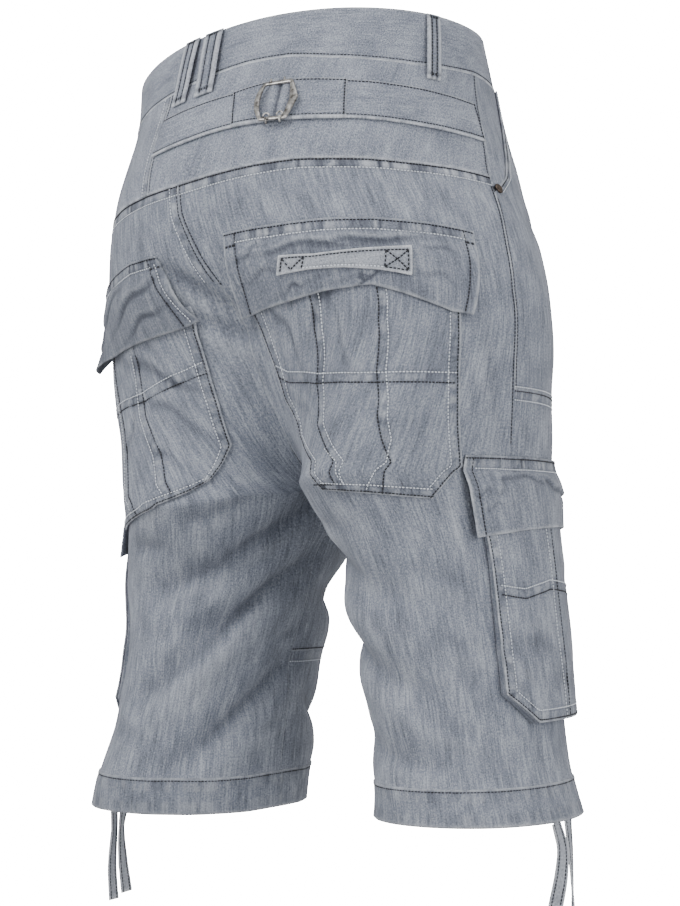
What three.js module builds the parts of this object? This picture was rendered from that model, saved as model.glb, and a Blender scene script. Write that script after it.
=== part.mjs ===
// Three-quarter cargo shorts in washed denim, in worn form and with no wearer.
// Millimetres, +Z up. The back faces +Y, the wearer's left is +X and the origin is the centre of the waist.
//
// Every piece of cloth is cut from one surface. A place on it is (q, r):
//   q  the way round one side: 0 at the centre back seam or inseam, 1 at the centre front or inseam again,
//      positive on the wearer's right and negative on the wearer's left;
//   r  the height of the row at the outer side of the hip, 20 at the top of the waistband.
import * as THREE from 'three';

// Cloth and trim
const wall = 1.6;
const trimWall = 1.4;
const bandWall = 2.6;
const hemWall = 2.4;
const seam = 0.3;
const onPanel = 0.9;

// Rows
const bandTop = 20;
const bandBottom = -19;
const crotchStart = -150;
const crotch = -325;
const thighSeam = -270;
const kneeSeam = -447;
const casing = { right: { top: -556, bottom: -583 }, left: { top: -542, bottom: -570 } };

// The trunk: half its width, its depth before and behind the side seams, and how deep the seat cleft is
const trunk = [
  { at: 20, wide: 155, front: 103, back: 116, cleft: 0 },
  { at: -20, wide: 155, front: 121, back: 127, cleft: 0 },
  { at: -92, wide: 168, front: 128, back: 162, cleft: 2 },
  { at: -150, wide: 185, front: 126, back: 157, cleft: 6 },
  { at: -210, wide: 192, front: 117, back: 134, cleft: 14 },
  { at: -265, wide: 180, front: 120, back: 127, cleft: 18 },
  { at: -325, wide: 166, front: 126, back: 123, cleft: 14 },
];
// The legs: the centre and the half sizes of each ring
const legs = {
  right: [
    { at: -380, x: 99, y: -5, halfX: 73, halfY: 106 },
    { at: -440, x: 109, y: -4, halfX: 71, halfY: 98 },
    { at: -500, x: 119, y: -3, halfX: 68, halfY: 91 },
    { at: -555, x: 127, y: -1, halfX: 70, halfY: 89 },
    { at: -600, x: 135, y: 2, halfX: 79, halfY: 91 },
  ],
  left: [
    { at: -380, x: 107, y: -10, halfX: 78, halfY: 99 },
    { at: -440, x: 113, y: -8, halfX: 67, halfY: 99 },
    { at: -500, x: 121, y: -5, halfX: 67, halfY: 102 },
    { at: -555, x: 132, y: 0, halfX: 77, halfY: 101 },
    { at: -600, x: 139, y: 1, halfX: 83, halfY: 92 },
  ],
};
const legGap = 0.8;
const trunkPower = 0.92;
const legPower = 0.95;
const cleftReach = 40;
// How far the waist rises at the centre back and dips at the centre front, and over how many degrees
const waistRise = { back: 13, front: -4, reach: 60 };

// The stance: the hips are rolled, tipped and turned over the legs, about a pivot inside the trunk
const stance = { roll: 10.4, tip: 8.2, turn: -6.7, pivot: -250, whole: -120, none: -420, drop: 10.3 };

// Folds: a soft trough from one place to another, with a ridge below it
const folds = [
  { q: -0.03, r: -330, toQ: -0.24, toR: -390, sag: 6, width: 15, depth: 7 },
  { q: -0.02, r: -375, toQ: -0.25, toR: -472, sag: -4, width: 14, depth: 8 },
  { q: -0.02, r: -459, toQ: -0.17, toR: -530, sag: 0, width: 14, depth: 7 },
  { q: -0.22, r: -421, toQ: -0.15, toR: -417, sag: 0, width: 10, depth: 3 },
  { q: -0.2, r: -338, toQ: -0.11, toR: -326, sag: 3, width: 11, depth: 4 },
  { q: -0.32, r: -357, toQ: -0.25, toR: -359, sag: 0, width: 10, depth: 3 },
  { q: -0.06, r: -155, toQ: 0.005, toR: -179, sag: 0, width: 11, depth: 3 },
  { q: -0.03, r: -180, toQ: 0.012, toR: -194, sag: 0, width: 11, depth: 2.5 },
  { q: -0.8, r: -330, toQ: -0.97, toR: -300, sag: 5, width: 16, depth: 6 },
  { q: -0.76, r: -424, toQ: -0.96, toR: -398, sag: -6, width: 15, depth: 6 },
  { q: -0.76, r: -520, toQ: -0.95, toR: -482, sag: 4, width: 13, depth: 5 },
  { q: 0.06, r: -372, toQ: 0.27, toR: -410, sag: 5, width: 15, depth: 6 },
  { q: 0.04, r: -440, toQ: 0.3, toR: -486, sag: -4, width: 14, depth: 6 },
  { q: 0.1, r: -520, toQ: 0.27, toR: -533, sag: 2, width: 12, depth: 4 },
  { q: 0.78, r: -322, toQ: 0.96, toR: -296, sag: 4, width: 16, depth: 6 },
  { q: 0.76, r: -455, toQ: 0.97, toR: -412, sag: -5, width: 15, depth: 6 },
  { q: 0.72, r: -532, toQ: 0.93, toR: -505, sag: 3, width: 12, depth: 5 },
];
const foldScale = 560;
const foldRidge = 0.45;

// Lines across the surface
const sideSeam = [
  { at: -19, q: 0.532 }, { at: -48, q: 0.52 }, { at: -108, q: 0.497 }, { at: -170, q: 0.48 },
  { at: -205, q: 0.472 }, { at: -235, q: 0.476 }, { at: -320, q: 0.49 }, { at: -600, q: 0.49 },
];
const mouthLine = [
  { at: -124, q: 0.4946 }, { at: -107, q: 0.54 }, { at: -60, q: 0.6 }, { at: -19, q: 0.64 },
];
const yokeLine = [
  { at: -0.53, r: -103 }, { at: -0.2, r: -97 }, { at: 0, r: -100 },
  { at: 0.18, r: -101.5 }, { at: 0.34, r: -108 }, { at: 0.53, r: -111 },
];
const yokeSplit = { top: -0.083, bottom: -0.075 };
const mouthBottom = -124;
const mouthRows = [bandBottom - seam / 2, -40, -60, -84, -107, -118];

// Materials, one for each piece that is made of something else
function stuff(color, roughness, metalness = 0) {
  return new THREE.MeshStandardMaterial({ color, roughness, metalness });
}
const denim = () => stuff(0x8d939e, 0.92);
const lightDenim = () => stuff(0x9aa0ab, 0.92);
const tape = () => stuff(0x828892, 0.95);
const nickel = () => stuff(0x9a958c, 0.35, 1);
const darkMetal = () => stuff(0x3c3a38, 0.4, 1);

const parts = new THREE.Group();

// Reads one named column of a table at a height, by a smooth curve through its rows
function read(table, column, at) {
  const rows = table[0].at > table[table.length - 1].at ? [...table].reverse() : table;
  const last = rows.length - 1;
  const where = Math.min(Math.max(at, rows[0].at), rows[last].at);
  let i = 0;
  while (i < last - 1 && where > rows[i + 1].at) {
    i += 1;
  }
  const slope = (k) => {
    if (k === 0) {
      return (rows[1][column] - rows[0][column]) / (rows[1].at - rows[0].at);
    }
    if (k === last) {
      return (rows[last][column] - rows[last - 1][column]) / (rows[last].at - rows[last - 1].at);
    }
    const before = rows[k].at - rows[k - 1].at;
    const after = rows[k + 1].at - rows[k].at;
    const up = (rows[k + 1][column] - rows[k][column]) / after;
    const down = (rows[k][column] - rows[k - 1][column]) / before;
    return (up * before + down * after) / (before + after);
  };
  const span = rows[i + 1].at - rows[i].at;
  const s = (where - rows[i].at) / span;
  const a = rows[i][column] * (2 * s ** 3 - 3 * s ** 2 + 1) + slope(i) * span * (s ** 3 - 2 * s ** 2 + s);
  const b = rows[i + 1][column] * (3 * s ** 2 - 2 * s ** 3) + slope(i + 1) * span * (s ** 3 - s ** 2);
  return a + b;
}

// Reads a table by straight lines between its rows
function line(table, column, at) {
  const last = table.length - 1;
  const rising = table[last].at > table[0].at;
  for (let i = 0; i < last; i += 1) {
    const inside = rising ? at <= table[i + 1].at : at >= table[i + 1].at;
    if (inside || i === last - 1) {
      const s = THREE.MathUtils.clamp((at - table[i].at) / (table[i + 1].at - table[i].at), 0, 1);
      return THREE.MathUtils.lerp(table[i][column], table[i + 1][column], s);
    }
  }
  return table[last][column];
}

const ease = (x) => THREE.MathUtils.smoothstep(x, 0, 1);
const mix = THREE.MathUtils.lerp;
const bell = (x) => Math.exp(-x * x);
const power = (x, p) => Math.sign(x) * Math.abs(x) ** p;

// Tips a point of the trunk with the hips, and less and less down the thighs
function pose(point, r) {
  const share = ease((r - stance.none) / (stance.whole - stance.none));
  const radians = (degrees) => THREE.MathUtils.degToRad(degrees) * share;
  const lowered = THREE.MathUtils.clamp(point.x / 60, -1, 1) * stance.drop * ease((-r - 100) / 250);
  point.z -= stance.pivot;
  point.applyAxisAngle(new THREE.Vector3(0, 0, 1), radians(stance.turn));
  point.applyAxisAngle(new THREE.Vector3(1, 0, 0), radians(stance.tip));
  point.applyAxisAngle(new THREE.Vector3(0, 1, 0), radians(stance.roll));
  point.z += stance.pivot - lowered;
  return point;
}
const waistCentre = pose(new THREE.Vector3(0, 0, 0), 0);

// The smooth form, without folds
function form(q, r) {
  const side = q < 0 ? 1 : -1;
  const leg = q < 0 ? legs.left : legs.right;
  const round = 1 - Math.abs(q);
  const dive = THREE.MathUtils.clamp((crotchStart - r) / (crotchStart - crotch), 0, 1) * Math.PI / 2;
  const share = 1 - Math.cos(dive);
  const seamZ = r < crotchStart && r > crotch ? mix(crotchStart, crotch, Math.sin(dive)) : r;
  const z = r + (seamZ - r) * Math.abs(2 * round - 1) ** 3;
  const upper = Math.max(z, crotch);
  const wide = read(trunk, 'wide', upper);
  const front = read(trunk, 'front', upper);
  const back = read(trunk, 'back', upper);
  const across = wide * Math.sin(Math.PI * round) ** trunkPower;
  const facing = power(Math.cos(Math.PI * round), trunkPower);
  let deep = facing > 0 ? -front * facing : -back * facing;
  if (facing < 0) {
    deep -= read(trunk, 'cleft', upper) * bell(across / cleftReach);
  }
  const top = { at: crotch, x: (wide + legGap) / 2, y: (back - front) / 2, halfX: (wide - legGap) / 2,
    halfY: (back + front) / 2 };
  const ring = (column) => (z > crotch ? top[column] : read([top, ...leg], column, z));
  const legX = ring('x') - ring('halfX') * power(Math.cos(2 * Math.PI * round), legPower);
  const legY = ring('y') - ring('halfY') * power(Math.sin(2 * Math.PI * round), legPower);
  const degrees = Math.abs(q) * 180;
  const near = ease((r + 110) / 90);
  const rise = waistRise.back * bell(degrees / waistRise.reach)
    + waistRise.front * bell((180 - degrees) / waistRise.reach);
  return pose(new THREE.Vector3(
    side * mix(across, legX, share), mix(deep, legY, share), z + rise * near), r);
}

// How far the folds move the cloth outward at a place
function foldAt(q, r) {
  let moved = 0;
  for (const fold of folds) {
    const onLegs = r < -300;
    if (onLegs && Math.sign(q) !== Math.sign(fold.q)) {
      continue;
    }
    let dq = q - fold.q;
    if (onLegs) {
      dq -= Math.round(dq);
    }
    const alongQ = (fold.toQ - fold.q) * foldScale;
    const alongR = fold.toR - fold.r;
    const length = Math.hypot(alongQ, alongR);
    const along = (dq * foldScale * alongQ + (r - fold.r) * alongR) / length;
    const s = THREE.MathUtils.clamp(along / length, 0, 1);
    const bend = fold.sag * 4 * s * (1 - s);
    const past = Math.max(0, -along, along - length);
    const off = (alongQ * (r - fold.r) - alongR * dq * foldScale) / length * Math.sign(alongQ) + bend;
    const fade = bell(past / (fold.width * 1.4)) * (0.55 + 0.45 * Math.sin(Math.PI * s));
    moved -= fold.depth * fade * bell(off / fold.width);
    moved += fold.depth * foldRidge * fade * bell((off + fold.width * 1.9) / (fold.width * 1.1));
  }
  return moved;
}

// Steps along a row: legs close on themselves at the inseam, and the trunk's halves end at their seams
function along(q, step, r) {
  const low = q < 0 ? -1 : 0;
  const next = q + step - low;
  if (r < crotch) {
    return low + (next - Math.floor(next)) - (low < 0 ? 1e-9 : 0);
  }
  return low + THREE.MathUtils.clamp(next, 0, low < 0 ? 1 - 1e-9 : 1);
}

function outward(surface, q, r) {
  const stepQ = 0.004;
  const stepR = 2;
  const across = surface(along(q, stepQ, r), r).sub(surface(along(q, -stepQ, r), r));
  const down = surface(q, r - stepR).sub(surface(q, r + stepR));
  return down.cross(across).normalize();
}

function folded(q, r) {
  const moved = foldAt(q, r);
  const point = form(q, r);
  return Math.abs(moved) < 0.02 ? point : point.addScaledVector(outward(form, q, r), moved);
}

// A point of the cloth, moved out from it; q past the centre front runs on to the other side
function cloth(q, r, out = 0) {
  const at = q < -1 ? q + 2 : q;
  const point = folded(at, r);
  if (out !== 0) {
    point.addScaledVector(outward(folded, at, r), out);
  }
  return point.sub(waistCentre);
}

// The row whose cloth has a given height at q, for lines that run level across the seat
function rowAt(q, height) {
  if (height >= crotchStart || height <= crotch) {
    return height;
  }
  let high = crotchStart;
  let low = crotch;
  for (let i = 0; i < 30; i += 1) {
    const r = (high + low) / 2;
    const dive = (crotchStart - r) / (crotchStart - crotch) * Math.PI / 2;
    const z = r + (mix(crotchStart, crotch, Math.sin(dive)) - r) * Math.abs(1 - 2 * Math.abs(q)) ** 3;
    if (z > height) {
      high = r;
    } else {
      low = r;
    }
  }
  return (high + low) / 2;
}

// Makes a closed body from its points and faces, with the faces turned to point out
function solid(name, points, faces, material) {
  let volume = 0;
  for (const [a, b, c] of faces) {
    volume += points[a].dot(points[b].clone().cross(points[c]));
  }
  const turned = volume < 0 ? faces.map(([a, b, c]) => [a, c, b]) : faces;
  const geometry = new THREE.BufferGeometry();
  geometry.setAttribute('position', new THREE.Float32BufferAttribute(points.flatMap((p) => p.toArray()), 3));
  geometry.setIndex(turned.flat());
  geometry.computeVertexNormals();
  const mesh = new THREE.Mesh(geometry, material);
  mesh.name = name;
  parts.add(mesh);
  return mesh;
}

// A wall between two grids of points, open at its ends or closed round on itself
function wallBetween(name, outer, inner, material, closed = false) {
  const rows = outer.length;
  const columns = outer[0].length;
  const points = [...outer.flat(), ...inner.flat()];
  const under = rows * columns;
  const faces = [];
  const quad = (a, b, c, d) => faces.push([a, b, c], [a, c, d]);
  const spans = closed ? columns : columns - 1;
  for (let i = 0; i < rows - 1; i += 1) {
    for (let j = 0; j < spans; j += 1) {
      const next = (j + 1) % columns;
      const a = i * columns + j;
      const b = i * columns + next;
      const c = (i + 1) * columns + next;
      const d = (i + 1) * columns + j;
      quad(a, b, c, d);
      quad(under + a, under + d, under + c, under + b);
    }
  }
  for (let j = 0; j < spans; j += 1) {
    const next = (j + 1) % columns;
    const lastRow = (rows - 1) * columns;
    quad(j, under + j, under + next, next);
    quad(lastRow + j, lastRow + next, under + lastRow + next, under + lastRow + j);
  }
  for (let i = 0; i < rows - 1 && !closed; i += 1) {
    const a = i * columns;
    const b = (i + 1) * columns;
    const e = columns - 1;
    quad(a, b, under + b, under + a);
    quad(a + e, under + a + e, under + b + e, b + e);
  }
  return solid(name, points, faces, material);
}

// A piece of cloth: place(u, v) gives q, r and the lift of its underside, u across and v down
function cut(name, { across, down, place, thick = wall, material = denim(), closed = false }) {
  const outer = [];
  const inner = [];
  for (const v of down) {
    const outerRow = [];
    const innerRow = [];
    for (const u of across) {
      const { q, r, lift = -thick } = place(u, v);
      outerRow.push(cloth(q, r, lift + thick));
      innerRow.push(cloth(q, r, lift));
    }
    outer.push(outerRow);
    inner.push(innerRow);
  }
  return wallBetween(name, outer, inner, material, closed);
}

const steps = (from, to, count) => Array.from({ length: count + 1 }, (_, i) => mix(from, to, i / count));
const even = (count) => steps(0, 1, count);
const sides = [{ word: 'right', sign: 1 }, { word: 'left', sign: -1 }];
const sideQ = (r) => line(sideSeam, 'q', r);
const mouthQ = (r) => line(mouthLine, 'q', r);
const yokeR = (q) => line(yokeLine, 'r', q);
const seamQ = seam / 2 / 540;

// The waistband goes once round and laps over itself at the centre front
const bandSeam = [
  { at: -0.5, r: bandBottom }, { at: -0.18, r: -20.8 }, { at: -0.07, r: -21.3 }, { at: 0, r: -20 },
  { at: 0.07, r: -18.4 }, { at: 0.146, r: bandBottom }, { at: 0.22, r: -22.5 }, { at: 0.3, r: -24.2 },
  { at: 0.38, r: -24.6 }, { at: 0.46, r: -22.4 }, { at: 0.53, r: bandBottom },
];
const bandEnd = (q) => line(bandSeam, 'r', q);

function makeWaistband() {
  const lap = 0.055;
  cut('waistband', {
    across: even(62),
    down: [0, 1],
    thick: bandWall,
    material: lightDenim(),
    place: (u, v) => {
      const q = mix(-1 - lap, 1 - 2 * seamQ, u);
      const lapped = ease((-0.965 - q) / 0.03) * (bandWall + 0.6);
      return { q, r: mix(bandTop, bandEnd(q) + seam / 2, v), lift: -bandWall + lapped };
    },
  });
}

// The yoke is cut in two, and parts at a seam left of the centre back
function makeYoke() {
  const down = even(4);
  const place = (fromTop, fromBottom, toSign) => (u, v) => {
    const start = mix(fromTop, fromBottom, v);
    const rough = mix(bandBottom, yokeR(toSign * 0.497), v);
    const end = toSign * (sideQ(rough) - seamQ);
    const q = mix(start, end, u);
    return { q, r: mix(bandEnd(q) - seam / 2, yokeR(q) + seam / 2, v) };
  };
  cut('yoke_right', { across: even(20), down, material: lightDenim(),
    place: place(yokeSplit.top + seamQ, yokeSplit.bottom + seamQ, 1) });
  cut('yoke_left', { across: even(14), down, material: lightDenim(),
    place: place(yokeSplit.top - seamQ, yokeSplit.bottom - seamQ, -1) });
}

// The seat seam wanders off the middle between the back pockets
const seatSeam = [
  { at: -260, q: 0 }, { at: -230, q: 0.0025 }, { at: -200, q: 0.004 }, { at: -185, q: 0.003 }, { at: -171, q: 0.002 },
  { at: -160, q: -0.0026 }, { at: -150, q: -0.0065 }, { at: -136, q: -0.0108 }, { at: -122, q: -0.015 },
  { at: -103, q: -0.0134 },
];
const seatQ = (r) => line(seatSeam, 'q', r);

// Each back panel is one length from the yoke to the hem casing
function makeBackPanels() {
  const across = [0, 0.05, 0.11, 0.19, 0.28, 0.38, 0.48, 0.58, 0.68, 0.78, 0.89, 1];
  for (const { word, sign } of sides) {
    const hem = casing[word].top + seam / 2;
    const top = yokeR(0) - seam / 2;
    const stations = [top, ...seatSeam.map((row) => row.at - 1).reverse(), ...steps(-280, hem, 14)];
    cut(`back_panel_${word}`, {
      across,
      down: stations.map((r) => (top - r) / (top - hem)),
      place: (u, v) => {
        const rough = mix(yokeR(sign * 0.497), hem, v);
        const start = seatQ(mix(top, hem, v) + 1) + sign * seamQ;
        const q = mix(start, sign * (sideQ(rough) - seamQ), u);
        return { q, r: mix(yokeR(q) - seam / 2, hem, v) };
      },
    });
  }
}

// Each front is cut in three lengths, and its top edge stands off at the hip pocket's mouth
function makeFronts() {
  for (const { word, sign } of sides) {
    const start = (r) => (r > mouthBottom ? mouthQ(r) : sideQ(r)) + seamQ;
    const between = (u, r) => sign * mix(start(r), 1 - seamQ, u);
    cut(`front_upper_${word}`, {
      across: [0, 0.06, 0.14, 0.24, 0.35, 0.47, 0.59, 0.71, 0.82, 0.91, 1],
      down: [...mouthRows, mouthBottom, ...steps(-148, thighSeam + seam / 2, 5)],
      place: (u, r) => {
        const stand = r > mouthBottom ? 2.4 * Math.exp(-u / 0.12) * ease((r - mouthBottom) / 22) : 0;
        return { q: between(u, r), r, lift: -wall + stand };
      },
    });
    cut(`front_thigh_${word}`, {
      across: even(10),
      down: steps(thighSeam - seam / 2, kneeSeam + seam / 2, 8),
      place: (u, r) => ({ q: between(u, r), r }),
    });
    cut(`front_knee_${word}`, {
      across: even(10),
      down: steps(kneeSeam - seam / 2, casing[word].top + seam / 2, 5),
      place: (u, r) => ({ q: between(u, r), r }),
    });
    cut(`hip_facing_${word}`, {
      across: even(3),
      down: mouthRows,
      place: (u, r) => {
        const under = 0.012 * ease((r + 104) / 30);
        return { q: sign * mix(sideQ(r) + seamQ, mouthQ(r) - seamQ + under, u), r };
      },
    });
  }
}

// The fly's edge, sewn down over the centre front
function makeFly() {
  cut('fly_flap', {
    across: even(3),
    down: steps(bandBottom - 1, -182, 8),
    thick: trimWall,
    place: (u, r) => {
      const inward = 0.055 * ease((r + 182) / 40);
      return { q: mix(-1 - inward - 0.004, -0.985, u), r, lift: onPanel };
    },
  });
}

function makeHems() {
  for (const { word, sign } of sides) {
    const { top, bottom } = casing[word];
    cut(`hem_casing_${word}`, {
      across: steps(0, 1, 28).slice(0, 28),
      down: [0, 1],
      thick: hemWall,
      closed: true,
      place: (u, v) => ({ q: sign * (u + 0.0001), r: mix(top - seam / 2, bottom, v), lift: -wall }),
    });
  }
}

// Back pockets: the flap by its columns and the body by its rows, in q and height
const backFlap = {
  right: [
    { at: 0, topQ: 0.042, top: -147, endQ: 0.018, end: -203 },
    { at: 0.2, topQ: 0.115, top: -150, endQ: 0.1, end: -203 },
    { at: 0.4, topQ: 0.19, top: -151.6, endQ: 0.162, end: -200.1 },
    { at: 0.583, topQ: 0.26, top: -154.5, endQ: 0.232, end: -200.4 },
    { at: 0.88, topQ: 0.37, top: -161.5, endQ: 0.352, end: -222 },
    { at: 1, topQ: 0.413, top: -164.6, endQ: 0.387, end: -224 },
  ],
  left: [
    { at: 0, topQ: 0.07, top: -146, endQ: 0.042, end: -198 },
    { at: 0.2, topQ: 0.13, top: -143.5, endQ: 0.11, end: -198.5 },
    { at: 0.45, topQ: 0.22, top: -145, endQ: 0.21, end: -199 },
    { at: 0.72, topQ: 0.32, top: -150, endQ: 0.315, end: -203 },
    { at: 0.86, topQ: 0.365, top: -153, endQ: 0.355, end: -203.5 },
    { at: 1, topQ: 0.41, top: -156, endQ: 0.395, end: -199 },
  ],
};
const backPocket = {
  right: [
    { at: 0, inQ: 0.03, in: -186, outQ: 0.372, out: -188 },
    { at: 0.2, inQ: 0.04, in: -228, outQ: 0.368, out: -224 },
    { at: 0.4, inQ: 0.057, in: -266, outQ: 0.381, out: -256 },
    { at: 0.6, inQ: 0.106, in: -295, outQ: 0.396, out: -288 },
    { at: 0.82, inQ: 0.195, in: -317, outQ: 0.415, out: -322 },
    { at: 1, inQ: 0.216, in: -335, outQ: 0.367, out: -343 },
  ],
  left: [
    { at: 0, inQ: 0.044, in: -186, outQ: 0.4, out: -184 },
    { at: 0.2, inQ: 0.058, in: -228, outQ: 0.395, out: -222 },
    { at: 0.4, inQ: 0.07, in: -256, outQ: 0.39, out: -256 },
    { at: 0.6, inQ: 0.09, in: -286, outQ: 0.395, out: -290 },
    { at: 0.82, inQ: 0.126, in: -299, outQ: 0.41, out: -326 },
    { at: 1, inQ: 0.16, in: -310, outQ: 0.37, out: -343 },
  ],
};
const flapTab = {
  right: [
    { at: 0, topQ: 0.117, top: -171.7, endQ: 0.1044, end: -183.5 },
    { at: 0.25, topQ: 0.163, top: -175, endQ: 0.151, end: -183.9 },
    { at: 0.5, topQ: 0.209, top: -175.8, endQ: 0.198, end: -186.3 },
    { at: 0.75, topQ: 0.255, top: -176.8, endQ: 0.245, end: -191 },
    { at: 1, topQ: 0.3007, top: -177.2, endQ: 0.2915, end: -197.2 },
  ],
};
const pocketFull = 4;
const flapRoom = { back: 4.2, cargo: 6.7 };

function makeBackPockets() {
  for (const { word, sign } of sides) {
    const rows = backPocket[word];
    cut(`back_pocket_${word}`, {
      across: even(10),
      down: even(10),
      thick: trimWall,
      place: (u, v) => {
        const q = mix(line(rows, 'inQ', v), line(rows, 'outQ', v), u);
        const height = mix(line(rows, 'in', v), line(rows, 'out', v), u);
        const full = pocketFull * Math.sin(Math.PI * u) * Math.sin(Math.PI * v);
        return { q: sign * q, r: rowAt(q, height), lift: onPanel + 0.5 + full };
      },
    });
    const columns = backFlap[word];
    const bulge = word === 'left' ? 11 : 0;
    cut(`back_flap_${word}`, {
      across: even(12),
      down: even(5),
      thick: trimWall,
      place: (u, v) => {
        const q = mix(line(columns, 'topQ', u), line(columns, 'endQ', u), v);
        const height = mix(line(columns, 'top', u), line(columns, 'end', u), v);
        const off = bulge * bell((q - 0.33) / 0.07) * v * v;
        return { q: sign * q, r: rowAt(q, height), lift: onPanel + flapRoom.back * ease(v / 0.5) + off };
      },
    });
  }
  const tab = flapTab.right;
  cut('flap_tab_right', {
    across: even(8),
    down: even(1),
    thick: trimWall,
    material: tape(),
    place: (u, v) => {
      const q = mix(line(tab, 'topQ', u), line(tab, 'endQ', u), v);
      const height = mix(line(tab, 'top', u), line(tab, 'end', u), v);
      return { q, r: rowAt(q, height), lift: onPanel + flapRoom.back + trimWall + 0.9 };
    },
  });
}

// Cargo pockets: a face held off the leg by a gusset, and a flap over both
const cargo = { toQ: 0.694, top: -340, corner: -486, bottom: -509, cutIn: 0.05 };
const cargoFlap = { fromTopQ: 0.418, toTopQ: 0.69, top: -315, fromEndQ: 0.409, toEndQ: 0.7, end: -369, mid: -364 };

// The cargo pocket widens and deepens downward
const cargoFrom = (r) => mix(0.428, 0.415, (cargo.top - r) / (cargo.top - cargo.bottom));
const cargoDepth = (r) => mix(1.5, 7.5, (cargo.top - r) / (cargo.top - cargo.bottom));

// The lower edge of the cargo pocket, with its two cut corners
function cargoBottom(u) {
  const corner = cargo.cutIn / (cargo.toQ - cargoFrom(cargo.bottom));
  const fromEnd = Math.min(u, 1 - u);
  return mix(cargo.corner, cargo.bottom, Math.min(fromEnd / corner, 1));
}

function makeCargoPockets() {
  const corner = cargo.cutIn / (cargo.toQ - cargoFrom(cargo.bottom));
  const across = [0, corner / 2, corner, ...steps(corner, 1 - corner, 5).slice(1, -1), 1 - corner, 1 - corner / 2, 1];
  for (const { word, sign } of sides) {
    cut(`cargo_pocket_${word}`, {
      across,
      down: even(8),
      thick: trimWall,
      place: (u, v) => {
        const r = mix(cargo.top, cargoBottom(u), v);
        const full = 2 * Math.sin(Math.PI * u) * Math.sin(Math.PI * v);
        return { q: sign * mix(cargoFrom(r), cargo.toQ, u), r, lift: onPanel + cargoDepth(r) + 0.8 + full };
      },
    });
    makeGusset(word, sign);
    cut(`cargo_flap_${word}`, {
      across: even(9),
      down: even(4),
      thick: trimWall,
      place: (u, v) => {
        const end = mix(cargoFlap.end, cargoFlap.mid, Math.sin(Math.PI * u));
        const q = mix(mix(cargoFlap.fromTopQ, cargoFlap.fromEndQ, v), mix(cargoFlap.toTopQ, cargoFlap.toEndQ, v), u);
        return { q: sign * q, r: mix(cargoFlap.top, end, v), lift: onPanel + flapRoom.cargo * ease(v / 0.45) };
      },
    });
  }
}

// The gusset follows the sides and the lower edge, and stands between the leg and the face
function makeGusset(word, sign) {
  const route = [];
  for (const r of steps(cargo.top, cargo.corner, 6)) {
    route.push({ q: cargoFrom(r), r });
  }
  const from = cargoFrom(cargo.bottom);
  for (const q of steps(from + cargo.cutIn, cargo.toQ - cargo.cutIn, 5)) {
    route.push({ q, r: cargo.bottom });
  }
  for (const r of steps(cargo.corner, cargo.top, 6)) {
    route.push({ q: cargo.toQ, r });
  }
  const middle = { q: (from + cargo.toQ) / 2, r: (cargo.top + cargo.bottom) / 2 };
  const inset = (place, by) => ({
    q: place.q + Math.sign(middle.q - place.q) * by / foldScale * Math.min(1, Math.abs(middle.q - place.q) * 20),
    r: place.r === cargo.bottom ? place.r + by : place.r,
  });
  const low = onPanel + 0.3;
  const row = (share, by) => route.map((place) => {
    const at = inset(place, by);
    return cloth(sign * at.q, at.r, mix(low, onPanel + cargoDepth(place.r), share));
  });
  wallBetween(`cargo_gusset_${word}`, [row(0, 0), row(1, 0)], [row(0, trimWall), row(1, trimWall)], denim());
}

// The back strap: a tail at each side and a doubled middle that the buckle holds
const strapRows = [
  { at: -0.08, top: -44, end: -71.5 }, { at: 0.06, top: -43.5, end: -70 }, { at: 0.13, top: -40, end: -71 },
  { at: 0.26, top: -43, end: -74 }, { at: 0.4, top: -45.5, end: -77.5 }, { at: 0.53, top: -48, end: -80 },
];
const strapDouble = 2.4;
const strapPieces = [
  { name: 'strap_left_tail', from: [-0.074, -0.074], to: [0.0613, 0.0733], columns: 6, thick: trimWall },
  { name: 'strap_middle', from: [0.0619, 0.0739], to: [0.2562, 0.2589], columns: 9, thick: strapDouble },
  { name: 'strap_right_tail', from: [0.2568, 0.2595], to: [0.505, 0.505], columns: 10, thick: trimWall },
];

function makeStrap() {
  for (const { name, from, to, columns, thick } of strapPieces) {
    cut(name, {
      across: even(columns),
      down: even(1),
      thick,
      material: lightDenim(),
      place: (u, v) => {
        const q = mix(mix(...from, v), mix(...to, v), u);
        return { q, r: mix(line(strapRows, 'top', q), line(strapRows, 'end', q), v), lift: onPanel };
      },
    });
  }
}

// Belt loops, from the top of the band to just below its seam
const loops = [
  { name: 'belt_loop_back_left', top: -0.04, end: -0.05 },
  { name: 'belt_loop_back_right', top: 0.002, end: 0 },
  { name: 'belt_loop_side_right', top: 0.425, end: 0.42 },
  { name: 'belt_loop_side_left', top: -0.425, end: -0.42 },
  { name: 'belt_loop_front_right', top: 0.76, end: 0.76 },
  { name: 'belt_loop_front_left', top: -0.76, end: -0.76 },
];
const loop = { top: 19.6, end: -35, half: 0.0145, arch: 2.2 };

function makeBeltLoops() {
  for (const { name, top, end } of loops) {
    cut(name, {
      across: even(2),
      down: even(6),
      thick: trimWall,
      place: (u, v) => ({
        q: mix(top, end, v) + mix(-loop.half, loop.half, u),
        r: mix(loop.top, loop.end, v),
        lift: onPanel + loop.arch * Math.sin(Math.PI * v) ** 0.6,
      }),
    });
  }
}

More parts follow.
